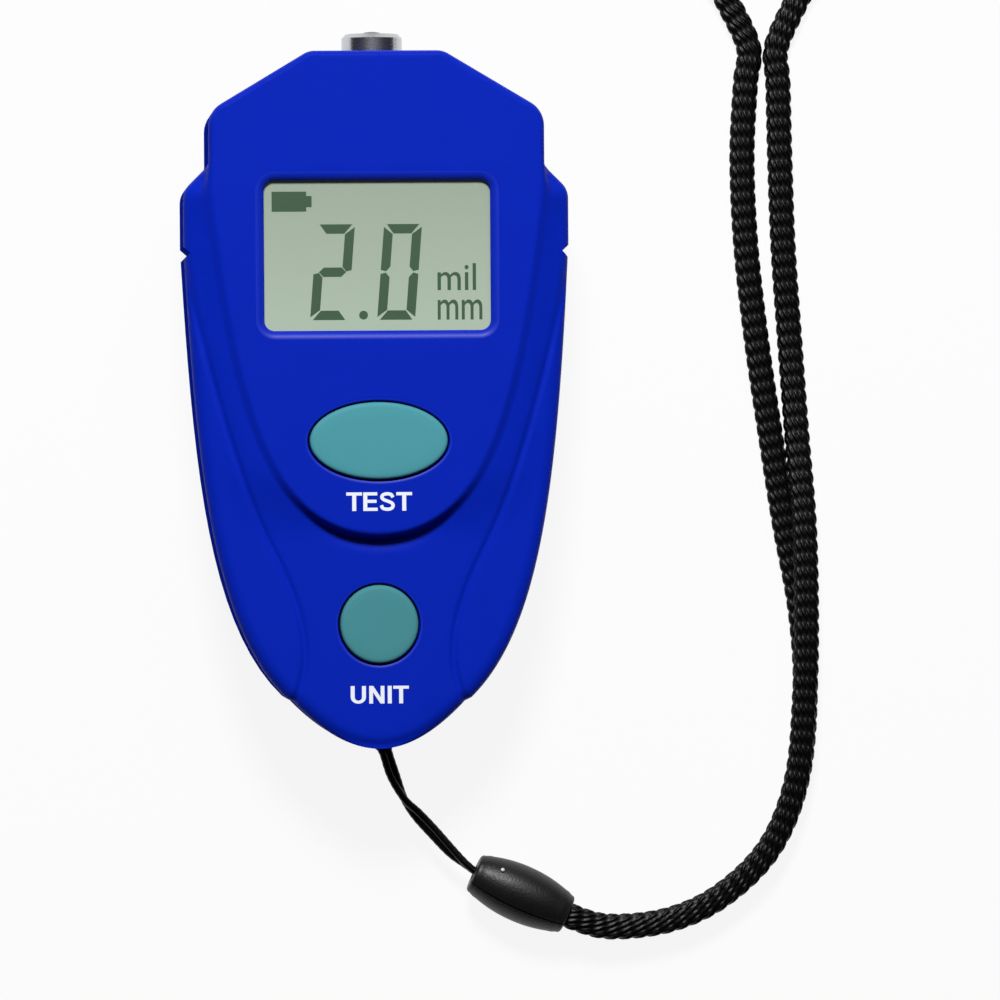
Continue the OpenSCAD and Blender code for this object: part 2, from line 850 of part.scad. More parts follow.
module key_switch(pos) {
    color([0.2, 0.2, 0.21])
        from_nose()
            translate([0, pos, 0])
                difference() {
                    block(switch_w / 2, -switch_w / 2, switch_w / 2, board_top, board_top + switch_t);
                    translate([0, 0, board_top - hair])
                        cylinder(d = stem_d + 2 * fit, h = switch_t + 2 * hair);
                }
}
module key_stem(pos) {
    color([0.85, 0.83, 0.75])
        from_nose()
            translate([0, pos, stem_low])
                cylinder(d = stem_d, h = stem_top - stem_low);
}
module test_switch() {
    key_switch(test_pos);
}
module test_switch_stem() {
    key_stem(test_pos);
}
module unit_switch() {
    key_switch(unit_pos);
}
module unit_switch_stem() {
    key_stem(unit_pos);
}

// Probe
module probe_sleeve() {
    r = probe_d / 2;
    inner = r - sleeve_wall;
    length = sleeve_end - sleeve_pos;
    flange_at = flange_pos - sleeve_pos;
    color(steel)
        from_nose()
            along_probe(sleeve_pos)
                rotate_extrude()
                    polygon([
                        [inner, 0], [r, 0], [r, flange_at], [flange_d / 2, flange_at],
                        [flange_d / 2, flange_at + flange_len], [r, flange_at + flange_len],
                        [r, length - sleeve_chamfer], [r - sleeve_chamfer, length], [core_d / 2 + snug, length],
                        [core_d / 2 + snug, length - sleeve_cap], [inner, length - sleeve_cap]
                    ]);
}
module probe_core() {
    length = overall_len - sleeve_pos;
    r = core_d / 2;
    color([0.35, 0.35, 0.37])
        from_nose()
            along_probe(sleeve_pos)
                rotate_extrude()
                    polygon(concat(
                        [[0, 0], [r, 0]],
                        [for (i = [0:6]) [r * cos(15 * i), length - tip_out + tip_out * sin(15 * i)]]
                    ));
}
module coil_bobbin() {
    bore = core_d / 2 + snug;
    length = bobbin_end - bobbin_pos;
    color([0.92, 0.9, 0.84])
        from_nose()
            along_probe(bobbin_pos)
                rotate_extrude()
                    polygon([
                        [bore, 0], [bobbin_d / 2, 0], [bobbin_d / 2, bobbin_flange],
                        [bobbin_hub_d / 2, bobbin_flange], [bobbin_hub_d / 2, length - bobbin_flange],
                        [bobbin_d / 2, length - bobbin_flange], [bobbin_d / 2, length], [bore, length]
                    ]);
}
module probe_coil() {
    length = bobbin_end - bobbin_pos - 2 * bobbin_flange;
    color([0.72, 0.4, 0.2])
        from_nose()
            along_probe(bobbin_pos + bobbin_flange)
                difference() {
                    cylinder(d = bobbin_d - 2 * coil_inset, h = length);
                    translate([0, 0, -hair])
                        cylinder(d = bobbin_hub_d, h = length + 2 * hair);
                }
}
module probe_leads() {
    rise = board_top + lead_d / 2;
    color([0.7, 0.1, 0.1])
        from_nose()
            for (side = [-1, 1])
                sweep([
                    [side * lead_x, bobbin_pos, probe_h + lead_rise],
                    [side * lead_x, bobbin_pos - 2 * lead_d, probe_h + lead_rise],
                    [side * 2, bobbin_pos - 3.5, rise - 0.4],
                    [side * 2.2, board_high + 0.8, rise + 0.5],
                    [side * 2.2, board_high - 0.6, rise + 0.1],
                    [side * 2.2, board_high - 1.3, rise]
                ], lead_d, lead_d, 8);
}

// Battery cells and contacts
module cell(x, y, flip) {
    body_l = cell_len - nub_len;
    r = cell_d / 2;
    bevel = 0.3;
    color([0.75, 0.6, 0.2])
        from_nose()
            translate([x, y, cell_h])
                rotate([flip ? 90 : -90, 0, 0])
                    rotate_extrude()
                        polygon([
                            [0, 0], [r - bevel, 0], [r, bevel], [r, body_l - bevel],
                            [r - bevel, body_l], [nub_d / 2, body_l], [nub_d / 2, cell_len], [0, cell_len]
                        ]);
}
module cell_left() {
    cell(-cell_d / 2, bay_pos + plate_t + spring_len, false);
}
module cell_right() {
    cell(cell_d / 2, bay_pos + plate_t + cell_len, true);
}
module end_plate(side) {
    color(steel)
        from_nose()
            translate([side * cell_d / 2, bay_pos, 0])
                union() {
                    block(plate_half, 0, plate_t, cell_h - plate_half, bay_in);
                    block(tab_half, 0, plate_t, bay_in - hair, board_h);
                }
}
module positive_plate() {
    end_plate(1);
}
module negative_plate() {
    end_plate(-1);
}
module bridge_plate() {
    color(steel)
        from_nose()
            block(bay_half - tab_half, bay_end - plate_t, bay_end, cell_h - plate_half, cell_h + plate_half);
}
module contact_spring(x, y, flip) {
    wire = 0.6;
    turns = 4;
    steps = 12;
    big = 3;
    small = 1.7;
    rise = spring_len - wire - 2 * snug;
    count = turns * steps;
    route = [
        for (i = [0:count])
            let (a = 360 * i / steps, t = i / count, r = big + (small - big) * t)
            [r * cos(a), r * sin(a), wire / 2 + snug + rise * t]
    ];
    color(steel)
        from_nose()
            translate([x, y, cell_h])
                rotate([flip ? 90 : -90, 0, 0])
                    sweep(route, wire, wire, 6);
}
module negative_spring() {
    contact_spring(-cell_d / 2, bay_pos + plate_t, false);
}
module bridge_spring() {
    contact_spring(cell_d / 2, bay_end - plate_t, true);
}

// Screws
module screw(shank_d, length, head_w, head_h) {
    recess = head_h * 0.6;
    difference() {
        union() {
            translate([0, 0, -head_h])
                cylinder(d = head_w, h = head_h);
            translate([0, 0, -head_h / 2])
                cylinder(d = shank_d, h = length + head_h / 2);
        }
        for (a = [0, 90])
            rotate([0, 0, a])
                block(head_w * 0.3, -screw_slot / 2, screw_slot / 2, -head_h - hair, recess - head_h);
    }
}
module case_screws() {
    color(steel)
        from_nose()
            case_screw_places(head_seat)
                screw(screw_d, case_screw_len, head_d, head_t);
}
module board_screws() {
    color(steel)
        from_nose()
            board_screw_places(board_h)
                screw(screw_d - pilot_less, board_t + board_screw_len - board_head_t, board_head_d, board_head_t);
}

// Wrist strap
module bead_half(roll) {
    length = bead_len / 2;
    end = length - bead_end_r;
    sag = (bead_d - bead_end_d) / 2;
    profile = concat(
        [
            [bead_bore_r, length], [bead_bore_r, bead_cap - length], [bead_thread_r, bead_cap - length],
            [bead_thread_r, -length]
        ],
        [for (i = [0:4]) [bead_end_d / 2 - bead_end_r * (1 - sin(22.5 * i)), -end - bead_end_r * cos(22.5 * i)]],
        [for (i = [-5:5]) [bead_d / 2 - sag * pow(i / 6, 2), end * i / 6]],
        [for (i = [4:-1:0]) [bead_end_d / 2 - bead_end_r * (1 - sin(22.5 * i)), end + bead_end_r * cos(22.5 * i)]]
    );
    color(black)
        from_nose()
            at(bead_pos, bead_h)
                rotate([0, 0, bead_turn])
                    rotate([roll, 0, 0])
                        rotate([0, 90, 0])
                            rotate([0, 0, bead_seam])
                                rotate_extrude(angle = 180 - 2 * bead_seam)
                                    polygon(profile);
}
module bead_upper() {
    bead_half(bead_roll);
}
module bead_lower() {
    bead_half(bead_roll + 180);
}
module strap_thread() {
    color(black)
        from_nose()
            sweep(thread_route, thread_d, thread_d, 8);
}
module strap_cord() {
    color(black)
        from_nose()
            sweep(strap_route, strap_w, strap_t, 8);
}

front_case();
rear_case();
battery_door();
display_window();
lcd_glass();
lcd_frame();
rubber_strips();
circuit_board();
controller_chip();
test_button();
test_switch();
test_switch_stem();
unit_button();
unit_switch();
unit_switch_stem();
probe_sleeve();
probe_core();
coil_bobbin();
probe_coil();
probe_leads();
cell_left();
cell_right();
positive_plate();
negative_plate();
negative_spring();
bridge_plate();
bridge_spring();
case_screws();
board_screws();
strap_thread();
bead_upper();
bead_lower();
strap_cord();
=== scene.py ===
"""Looks of the coating thickness gauge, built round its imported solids.

Lengths are in millimetres, with Y from the nose, until a mesh is made in metres in the part's frame.
"""
import math

import bpy
import numpy as np
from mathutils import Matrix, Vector
from mathutils.geometry import delaunay_2d_cdt


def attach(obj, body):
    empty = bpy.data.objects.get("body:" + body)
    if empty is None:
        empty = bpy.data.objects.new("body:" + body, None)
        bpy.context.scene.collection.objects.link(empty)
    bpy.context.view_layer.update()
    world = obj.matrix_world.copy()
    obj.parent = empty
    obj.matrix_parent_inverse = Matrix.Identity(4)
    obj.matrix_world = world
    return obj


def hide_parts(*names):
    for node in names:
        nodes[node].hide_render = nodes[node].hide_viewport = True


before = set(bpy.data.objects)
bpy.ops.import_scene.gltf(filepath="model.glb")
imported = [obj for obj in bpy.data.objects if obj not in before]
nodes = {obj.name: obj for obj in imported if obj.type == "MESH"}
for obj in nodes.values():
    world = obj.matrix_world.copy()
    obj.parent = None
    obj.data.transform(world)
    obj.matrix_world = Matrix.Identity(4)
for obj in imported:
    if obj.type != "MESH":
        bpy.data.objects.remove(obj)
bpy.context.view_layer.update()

MM = 0.001

# Housing, as in its solids
BODY_LEN = 103.0
OVERALL_LEN = 106.4
EAR_HALF = 28.5
SHOULDER_HALF = 24.8
TOP_HALF = 9.9
FACE_H = 23.0
SHIELD_H = 25.3
SPLIT_H = 11.5
EDGE_R = 2.0
SHIELD_R = 0.7
CORNER_R = 3.2
SHOULDER_R = 4.0
EAR_INNER_R = 1.0
SHOULDER_DROP = 8.9
EAR_POS = BODY_LEN - 16.8
NOTCH_POS = BODY_LEN - 29.6
NOTCH_D = 1.0
NOTCH_L = 1.8
STEP_POS = 7.5
STEP_DROP = 0.5
STEP_HALF = 13.7
NOSE_HALF = 12.7
SKIN_T = 2.0

# Display and buttons, as in their solids
WINDOW_POS = BODY_LEN - 30.2
WINDOW_W, WINDOW_L, WINDOW_R = 33.4, 22.2, 1.5
BEVEL_W, BEVEL_D, BEVEL_R = 0.8, 0.7, 2.4
LENS_LAP, LENS_TOP, LENS_T = 1.45, 24.6, 0.35
GLASS_TOP = 23.2
UNIT_POS, UNIT_R = 18.4, 5.7
TEST_POS = UNIT_POS + 0.4975 * (WINDOW_POS - UNIT_POS)
TEST_HALF_W, TEST_HALF_L = 10.1, 5.6
TONGUE_POS = UNIT_POS + 0.24 * (WINDOW_POS - UNIT_POS)
CAP_GAP, CAP_RISE, CAP_SKIRT = 0.3, 0.7, 2.6

# Finer forms of the front case: tongue's wall and hollow, blend of the shield's sides, shallower grooves
TONGUE_FOOT, TONGUE_FOOT_HALF, WALL_REACH = 0.8, 12.5, 0.85
HOLLOW_D, HOLLOW_REACH = 0.5, 2.8
BLEND_START, BLEND_LEN, BLEND_RISE = 30.5, 11.0, 1.5
LEAST_REACH = 0.02
GROOVE_HALF, GROOVE_D = 0.85, 0.34

# Rims of the openings: the window's bevel as insets and depths, and the round-over of the button wells
LIP_OUT = 0.45
BEVEL_STEPS = [(-0.2, 0.02), (0.0, 0.08), (0.22, 0.17), (0.42, 0.29), (0.56, 0.43), (0.66, 0.58)]
LEDGE_T = 0.06
RIM_BEVEL, RIM_MID, RIM_MID_D = 0.42, 0.27, 0.08

# Spacing of the front case's mesh: rings beside each line that it bends at, and a grid between them
OUTLINE_STEP, SHIELD_STEP, GRID_STEP = 0.9, 0.8, 1.7
EDGE_RINGS = (0.1, 0.26, 0.5, 0.8, 1.2, 1.65, 2.1)
SHIELD_RINGS = (-1.12, -0.9, -0.7, -0.5, -0.3, -0.12, 0, 0.06, 0.16, 0.28, 0.42, 0.56, 0.72, 1.1)
TIP_RINGS = (1.3, 1.6, 2.0, 2.4, 2.8)
GROOVE_RINGS = (-0.9, -0.68, -0.46, -0.24, 0, 0.24, 0.46, 0.68, 0.9)
HOLE_RINGS = (0.3, 0.8)
RIM_CLEAR, HOLE_CLEAR, INNER_CLEAR, LEAST_GAP = 0.1, 0.2, 0.3, 0.07
INNER_THINNING = 3
WALL_RINGS = (0.12, 0.4)
SPLIT_RINGS = ((0.2, 0), (0.06, 0.06), (0, 0.22))

# Caps of the buttons: a little wider than their solids, with a round edge as insets and drops, and a crown
CAP_SPREAD = 0.08
CAP_EDGE = [(0, 0.75), (0.02, 0.5), (0.08, 0.32), (0.2, 0.18), (0.38, 0.09), (0.7, 0.045)]
CROWN_RINGS = (0.8, 0.6, 0.4, 0.2, 0.05)

# Display: margins past the window, corner radii and edge bevels of the clear sheet and the face under it
FACE_TOP = 23.9
SHEET_MARGIN, SHEET_R, SHEET_EDGE = 1.3, 2.0, 0.06
FACE_MARGIN, FACE_R, FACE_EDGE = 1.1, 1.6, 0.05

# Signs in the display: words with centre, height and width, figures with lit segments and left edge
INK_T = 0.02
SIGN_BOLD = 0.004
UNIT_SIGNS = {"label_mil": ("mil", (11.75, 69.6), 3.95, 5.7), "label_mm": ("mm", (12.2, 64.75), 2.95, 6.6)}
DIGIT_W, DIGIT_H, DIGIT_T = 5.6, 14.1, 1.38
DIGIT_SLANT, DIGIT_GAP, DIGIT_NIP = 0.08, 0.1, 0.3
DIGIT_LOW = 63.3
FIGURES = {"figure_two": ("abged", -9.95), "figure_zero": ("abcdef", -0.05)}
POINT_R, POINT_X, POINT_POS, POINT_SIDES = 0.65, -2.05, 64.0, 24
BATTERY_SIGN = [
    (-15.5, 79.3), (-10.4, 79.3), (-10.4, 79.95), (-9.6, 79.95), (-9.6, 81.6), (-10.4, 81.6), (-10.4, 82.25),
    (-15.5, 82.25),
]

# Words beside the buttons: place, height, width and the height of the face under them
LABELS = {"label_test": ("TEST", 36.5, 2.74, 9.7, SHIELD_H), "label_unit": ("UNIT", 8.0, 2.6, 8.6, FACE_H)}
LETTER_STEM, LETTER_BAR = 0.21, 0.17

# Course of the thread and of the strap, as in their solids
THREAD_D = 0.95
THREAD_ROUTE = [
    (19.6, -21.4, 4.63), (17.6, -20.45, 4.63), (15.6, -19.42, 4.65), (13.7, -17.9, 4.75),
    (11.7, -15.75, 4.85), (9.05, -12.7, 5.1), (6.6, -10.1, 5.45), (4.44, -8.05, 5.75),
    (2.35, -4.6, 6.1), (1.15, -1, 6.35), (0.3, 0.1, 6.2), (-1.25, 1.7, 6.2),
    (-1.85, 3.2, 6.2), (-1.31, 4.51, 6.2), (0, 5.05, 6.2), (1.31, 4.51, 6.2),
    (1.85, 3.2, 6.2), (1.9, 1.6, 6.2), (2.05, 0.2, 6.2), (2.1, -1, 5.95),
    (3.2, -4.4, 5.5), (4.44, -8.05, 4.68), (6, -10.6, 4.45), (8.38, -13.3, 4.25),
    (11.2, -16.25, 4), (13.6, -18, 3.65), (15.6, -19.42, 3.57), (17.6, -20.45, 3.57),
    (19.6, -21.4, 3.57),
]
THREAD_EXIT = (1.6, -0.6, 6.2)
STRAP_W, STRAP_T = 4.0, 2.3
STRAP_ROUTE = [
    (25, -23.9, 2.9), (29, -25.75, 2.85), (35.3, -27.6, 1.9), (44.5, -26.6, 1.3), (52.6, -22.8, 1.3),
    (59.7, -15.7, 1.3), (63.8, -5.6, 1.3), (65.1, 7.6, 1.3), (64.4, 19.8, 1.3), (62.1, 32.9, 1.3),
    (60.1, 46.1, 1.3), (58.1, 60.3, 1.3), (56.6, 74.5, 1.3), (56.1, 87.7, 1.3), (56.7, 98.9, 1.3),
    (57.2, 104.4, 1.3), (54, 111.5, 1.3), (50.9, 117.6, 1.3), (53.2, 124.4, 1.3), (59.3, 127, 1.3),
    (65.4, 124.4, 1.3), (67.7, 117.6, 1.3), (64.6, 111.5, 1.3), (61.4, 104.4, 1.3), (61.6, 98.9, 1.3),
    (61.8, 87.7, 1.3), (62.2, 74.5, 1.3), (63.1, 60.3, 1.3), (64, 46.1, 2.1), (64.9, 33, 3.2),
    (65.1, 19.8, 3.8), (64.8, 7.6, 3.9), (63.5, -5.5, 3.9), (59.5, -15.6, 3.9), (52.4, -22.7, 3.9),
    (44.3, -26.5, 3.9), (35.1, -27.4, 4.5), (29, -25.75, 5.3), (25, -23.9, 5.3),
]
STRAP_EXIT = (28.6, -25.6, 4.1)

# Yarn: twist of the thread's plies, and the leaning stitches that stand out of the strap's flat section
THREAD_STEP, THREAD_LAY, THREAD_SIDES = 0.16, 2.2, 12
PLY_FULL, PLY_RISE = 1.14, 0.08
STITCH, COLUMNS, LOOP_POINTS, LOOP_ROWS, YARN = 2.05, 12, 6, 7, 0.24
STITCH_LEAN, STITCH_HALF_W, STITCH_HALF_L = math.radians(-33), 0.25, 1.1
STITCH_SINK = 0.6
SECTION_INSET, SECTION_POWER, SECTION_SIDES = 0.14, 0.72, 720

# Bead: place, turn and sizes as in its solids, with a soft collar at each end, and a small pale dome on it
# as a painted glint
BEAD_POS = (21.8, -22.4, 4.3)
BEAD_TURN, BEAD_ROLL, BEAD_SEAM = -25.0, -58.0, 2.0
BEAD_LEN, BEAD_R, BEAD_END_R, BEAD_ROUND = 15.4, 4.25, 3.0, 0.55
BEAD_BORE, BEAD_THREAD_R, BEAD_CAP = 2.35, 1.2, 2.4
BEAD_POWER, BEAD_RINGS, BEAD_SLICES, BEAD_ROUND_STEPS = 2.1, 41, 49, 7
COLLAR_RISE, COLLAR_IN, COLLAR_HALF = 0.07, 0.7, 0.35
GLINT_ALONG, GLINT_ANGLE = -4.2, 58
GLINT_R, GLINT_RISE, GLINT_FOOT, GLINT_SINK = 0.3, 0.14, 0.04, 0.12
GLINT_SIDES, GLINT_RINGS = 20, 6

# Studio, in metres and watts: each lamp has a place, a size and a power
FLOOR_HALF, FLOOR_Z = 2.0, -0.0002
FLOOR_GREY, FLOOR_ROUGH, FLOOR_GLOW = 0.75, 0.9, 0.9
WORLD_LIGHT = 0.035
LAMPS = {"key": ((-0.06, 0.54, 0.74), 0.22, 9.4), "fill": ((0.3, 0.5, 0.8), 0.5, 0.8)}
LAMP_AIM = (0.01, 0, 0.01)
VIEW_CENTRE = Vector((18.15, -16.6, 20.0)) * MM
VIEW_SPAN, VIEW_LENS, VIEW_SENSOR = 0.148, 320.0, 36.0
VIEW_LEAN, VIEW_ROLL = math.radians(3.5), math.radians(-0.4)


# Making and placing of meshes
def row(points):
    """Points measured from the nose, in millimetres, as points of the frame, in metres."""
    p = np.asarray(points, float).reshape(-1, 3).copy()
    p[:, 1] -= OVERALL_LEN / 2
    return p * MM


def make(name, verts, faces, material, body, sharp=40):
    """A mesh piece from points in millimetres, smooth up to the sharp angle, riding on a body."""
    mesh = bpy.data.meshes.new(name)
    mesh.from_pydata([tuple(v) for v in row(verts)], [], [tuple(int(i) for i in f) for f in faces])
    mesh.validate()
    mesh.update()
    mesh.shade_smooth()
    mesh.set_sharp_from_angle(angle=math.radians(sharp))
    mesh.materials.append(material)
    obj = bpy.data.objects.new(name, mesh)
    bpy.context.scene.collection.objects.link(obj)
    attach(obj, body)
    return obj


def bridge(a, b):
    """Quads between two closed rows of vertex numbers of the same count."""
    n = len(a)
    return [(a[i], a[(i + 1) % n], b[(i + 1) % n], b[i]) for i in range(n)]


class Shell:
    """Vertices and faces of one closed piece while it is put together."""

    def __init__(self):
        self.verts, self.faces = [], []

    def add(self, points):
        first = sum(len(v) for v in self.verts)
        self.verts.append(np.asarray(points, float))
        return list(range(first, first + len(points)))

    def join(self, rows):
        for a, b in zip(rows, rows[1:]):
            self.faces += bridge(a, b)

    def made(self, name, material, body, slot, sharp=40):
        return make(name, np.concatenate(self.verts), self.faces, material, body, sharp)


def at_height(loop, z):
    """The points of a flat loop, all at one height."""
    return np.column_stack([loop, np.full(len(loop), z)])


def tidy_shading():
    """A modifier that welds a node's seams and shades it smooth up to a limit of angle."""
    weld_reach, sharp = 2e-6, math.radians(32)
    group = bpy.data.node_groups.new("weld_and_smooth", "GeometryNodeTree")
    group.interface.new_socket("Geometry", in_out="INPUT", socket_type="NodeSocketGeometry")
    group.interface.new_socket("Geometry", in_out="OUTPUT", socket_type="NodeSocketGeometry")
    n = group.nodes
    start, end = n.new("NodeGroupInput"), n.new("NodeGroupOutput")
    plain = n.new("GeometryNodeRemoveAttribute")
    plain.inputs["Name"].default_value = "custom_normal"
    weld = n.new("GeometryNodeMergeByDistance")
    weld.inputs["Distance"].default_value = weld_reach
    smooth = n.new("GeometryNodeSetShadeSmooth")
    soften = n.new("GeometryNodeSetShadeSmooth")
    soften.domain = "EDGE"
    crease = n.new("GeometryNodeSetShadeSmooth")
    crease.domain = "EDGE"
    crease.inputs["Shade Smooth"].default_value = False
    angle = n.new("GeometryNodeInputMeshEdgeAngle")
    limit = n.new("FunctionNodeCompare")
    limit.operation = "GREATER_THAN"
    limit.inputs["B"].default_value = sharp
    link = group.links.new
    link(start.outputs[0], plain.inputs[0])
    link(plain.outputs[0], weld.inputs[0])
    link(weld.outputs[0], smooth.inputs[0])
    link(smooth.outputs[0], soften.inputs[0])
    link(soften.outputs[0], crease.inputs[0])
    link(angle.outputs["Unsigned Angle"], limit.inputs["A"])
    link(limit.outputs[0], crease.inputs["Selection"])
    link(crease.outputs[0], end.inputs[0])
    return group


SMOOTH = tidy_shading()


def dress(node, material):
    """Gives a CAD node its finish."""
    obj = nodes[node]
    for i in range(len(obj.data.materials)):
        obj.data.materials[i] = material
    if not obj.data.materials:
        obj.data.materials.append(material)
    modifier = obj.modifiers.new("smooth", "NODES")
    modifier.node_group = SMOOTH


# Materials
def linear(r, g, b):
    """A colour given as 0 to 255 on screen, as the renderer's own values."""
    def one(c):
        c /= 255
        return c / 12.92 if c <= 0.04045 else ((c + 0.055) / 1.055) ** 2.4
    return one(r), one(g), one(b), 1.0


def finish_of(name, colour, spread=0.06, patch=180.0, rough=0.5, rough_spread=0.08, grain=6000.0, bump=0.05,
              bump_depth=0.00004, metal=0.0, specular=0.5, coat=0.0, alpha=1.0):
    """A finish with uneven colour, uneven gloss and a fine grain."""
    mat = bpy.data.materials.new(name)
    mat.use_nodes = True
    tree = mat.node_tree
    n, link = tree.nodes, tree.links.new
    shader = n["Principled BSDF"]
    place = n.new("ShaderNodeTexCoord")
    cloud = n.new("ShaderNodeTexNoise")
    cloud.inputs["Scale"].default_value = patch
    cloud.inputs["Detail"].default_value = 4
    link(place.outputs["Object"], cloud.inputs["Vector"])
    tint = n.new("ShaderNodeMix")
    tint.data_type = "RGBA"
    tint.inputs["A"].default_value = [c * (1 - spread) for c in colour[:3]] + [1]
    tint.inputs["B"].default_value = [min(1, c * (1 + spread)) for c in colour[:3]] + [1]
    link(cloud.outputs["Fac"], tint.inputs["Factor"])
    link(tint.outputs["Result"], shader.inputs["Base Color"])
    dust = n.new("ShaderNodeTexNoise")
    dust.inputs["Scale"].default_value = grain
    dust.inputs["Detail"].default_value = 3
    link(place.outputs["Object"], dust.inputs["Vector"])
    gloss = n.new("ShaderNodeMapRange")
    gloss.inputs["To Min"].default_value = max(0.02, rough - rough_spread)
    gloss.inputs["To Max"].default_value = rough + rough_spread
    link(dust.outputs["Fac"], gloss.inputs["Value"])
    link(gloss.outputs["Result"], shader.inputs["Roughness"])
    if bump:
        relief = n.new("ShaderNodeBump")
        relief.inputs["Strength"].default_value = bump
        relief.inputs["Distance"].default_value = bump_depth
        link(dust.outputs["Fac"], relief.inputs["Height"])
        link(relief.outputs["Normal"], shader.inputs["Normal"])
    shader.inputs["Metallic"].default_value = metal
    shader.inputs["Specular IOR Level"].default_value = specular
    shader.inputs["Coat Weight"].default_value = coat
    shader.inputs["Alpha"].default_value = alpha
    return mat


def paint_shade_along(mat, start, end, dark):
    """Painted shade: darkens a finish little by little along Y, from a place in metres to another."""
    n, link = mat.node_tree.nodes, mat.node_tree.links.new
    shader = n["Principled BSDF"]
    source = shader.inputs["Base Color"].links[0].from_socket
    place = n.new("ShaderNodeTexCoord")
    split = n.new("ShaderNodeSeparateXYZ")
    ramp = n.new("ShaderNodeMapRange")
    ramp.inputs["From Min"].default_value = start
    ramp.inputs["From Max"].default_value = end
    ramp.inputs["To Min"].default_value = 1.0
    ramp.inputs["To Max"].default_value = dark
    scale = n.new("ShaderNodeVectorMath")
    scale.operation = "SCALE"
    link(place.outputs["Object"], split.inputs[0])
    link(split.outputs["Y"], ramp.inputs["Value"])
    link(source, scale.inputs[0])
    link(ramp.outputs["Result"], scale.inputs["Scale"])
    link(scale.outputs["Vector"], shader.inputs["Base Color"])


# The case's walls have no gloss, because at a flat angle they would mirror the pale floor
BLUE = linear(8, 37, 177)
RIM_BLUE = linear(10, 40, 180)
case_blue = finish_of("case_blue", BLUE, spread=0.05, rough=0.44, bump=0.25, specular=0.025)
wall_blue = finish_of("wall_blue", BLUE, spread=0.05, rough=0.6, bump=0.25, specular=0.0)
polished_blue = finish_of("polished_blue", RIM_BLUE, spread=0.05, rough=0.42, bump=0.1, specular=0.19)
door_blue = finish_of("door_blue", linear(8, 35, 170), spread=0.05, rough=0.5, bump=0.3, specular=0.12)
key_teal = finish_of("key_teal", linear(73, 151, 162), spread=0.04, rough=0.62, bump=0.2, specular=0.15)
unit_teal = finish_of("unit_teal", linear(68, 138, 145), spread=0.04, rough=0.62, bump=0.2, specular=0.15)
ink_white = finish_of("ink_white", linear(240, 244, 252), spread=0.02, rough=0.6, specular=0.2)
lcd_film = finish_of("lcd_film", linear(190, 207, 187), spread=0.02, patch=60, rough=0.55, specular=0.1)
# Painted shade: the display's face darkens towards its top, for the shade under the window's upper rim
paint_shade_along(lcd_film, 0.010, 0.031, 0.78)
lcd_ink = finish_of("lcd_ink", linear(74, 102, 78), spread=0.05, rough=0.5, specular=0.1)
lens_clear = finish_of("lens_clear", linear(60, 66, 62), spread=0.01, rough=0.06, rough_spread=0.02, bump=0,
                       alpha=0.06)
frame_white = finish_of("frame_white", linear(228, 227, 220), rough=0.55, specular=0.3)
strip_pink = finish_of("strip_pink", linear(226, 150, 158), rough=0.7, specular=0.2)
board_green = finish_of("board_green", linear(18, 92, 58), spread=0.15, patch=700, rough=0.35, specular=0.4)
part_black = finish_of("part_black", linear(34, 34, 36), rough=0.45, specular=0.4)
stem_ivory = finish_of("stem_ivory", linear(228, 222, 204), rough=0.5, specular=0.4)
steel = finish_of("steel", linear(200, 202, 206), spread=0.04, rough=0.25, metal=1.0, bump=0.1)
core_iron = finish_of("core_iron", linear(120, 121, 126), spread=0.1, rough=0.34, metal=1.0, bump=0.15)
copper = finish_of("copper", linear(186, 104, 58), spread=0.12, rough=0.3, metal=1.0, bump=0.2)
lead_red = finish_of("lead_red", linear(178, 30, 28), rough=0.42)
cell_wrap = finish_of("cell_wrap", linear(196, 160, 70), spread=0.05, rough=0.3, specular=0.6, coat=0.3)
bead_black = finish_of("bead_black", linear(17, 17, 18), spread=0.25, patch=500, rough=0.43,
                       rough_spread=0.12, grain=3500, bump=0.7, bump_depth=0.00006, specular=0.4)
# Painted glint: the bead's small dome is coloured pale to stand for a highlight
painted_glint = finish_of("painted_glint", linear(205, 206, 208), rough=0.3, bump=0.1)
yarn_black = finish_of("yarn_black", linear(2, 2, 3), spread=0.35, patch=900, rough=0.38, grain=9000,
                       bump=0.5, specular=0.22)

FINISHES = {
    "front_case": case_blue, "rear_case": wall_blue, "battery_door": door_blue,
    "display_window": lens_clear, "lcd_glass": lcd_film, "lcd_frame": frame_white,
    "rubber_strips": strip_pink, "circuit_board": board_green, "controller_chip": part_black,
    "test_button": key_teal, "test_switch": part_black, "test_switch_stem": stem_ivory,
    "unit_button": unit_teal, "unit_switch": part_black, "unit_switch_stem": stem_ivory,
    "probe_sleeve": steel, "probe_core": core_iron, "coil_bobbin": frame_white, "probe_coil": copper,
    "probe_leads": lead_red, "cell_left": cell_wrap, "cell_right": cell_wrap,
    "positive_plate": steel, "negative_plate": steel, "negative_spring": steel,
    "bridge_plate": steel, "bridge_spring": steel, "case_screws": steel, "board_screws": steel,
    "strap_thread": yarn_black, "bead_upper": bead_black, "bead_lower": bead_black, "strap_cord": yarn_black,
}
for node, finish in FINISHES.items():
    dress(node, finish)


# Plane curves and outlines
def direction(v):
    """A vector of length 1."""
    return v / np.linalg.norm(v)


def left_of(v):
    """A plane vector turned a quarter to the left."""
    return np.array([-v[1], v[0]])


def sides_of(line):
    """The directions to the left at each point of an open polyline."""
    along = np.gradient(line, axis=0)
    along /= np.linalg.norm(along, axis=1)[:, None]
    return np.stack([-along[:, 1], along[:, 0]], 1)


def bezier(c, t):
    """Points of a cubic curve with four control points."""
    c = np.asarray(c, float)
    t = np.asarray(t, float)[:, None]
    return (1 - t) ** 3 * c[0] + 3 * (1 - t) ** 2 * t * c[1] + 3 * (1 - t) * t * t * c[2] + t ** 3 * c[3]


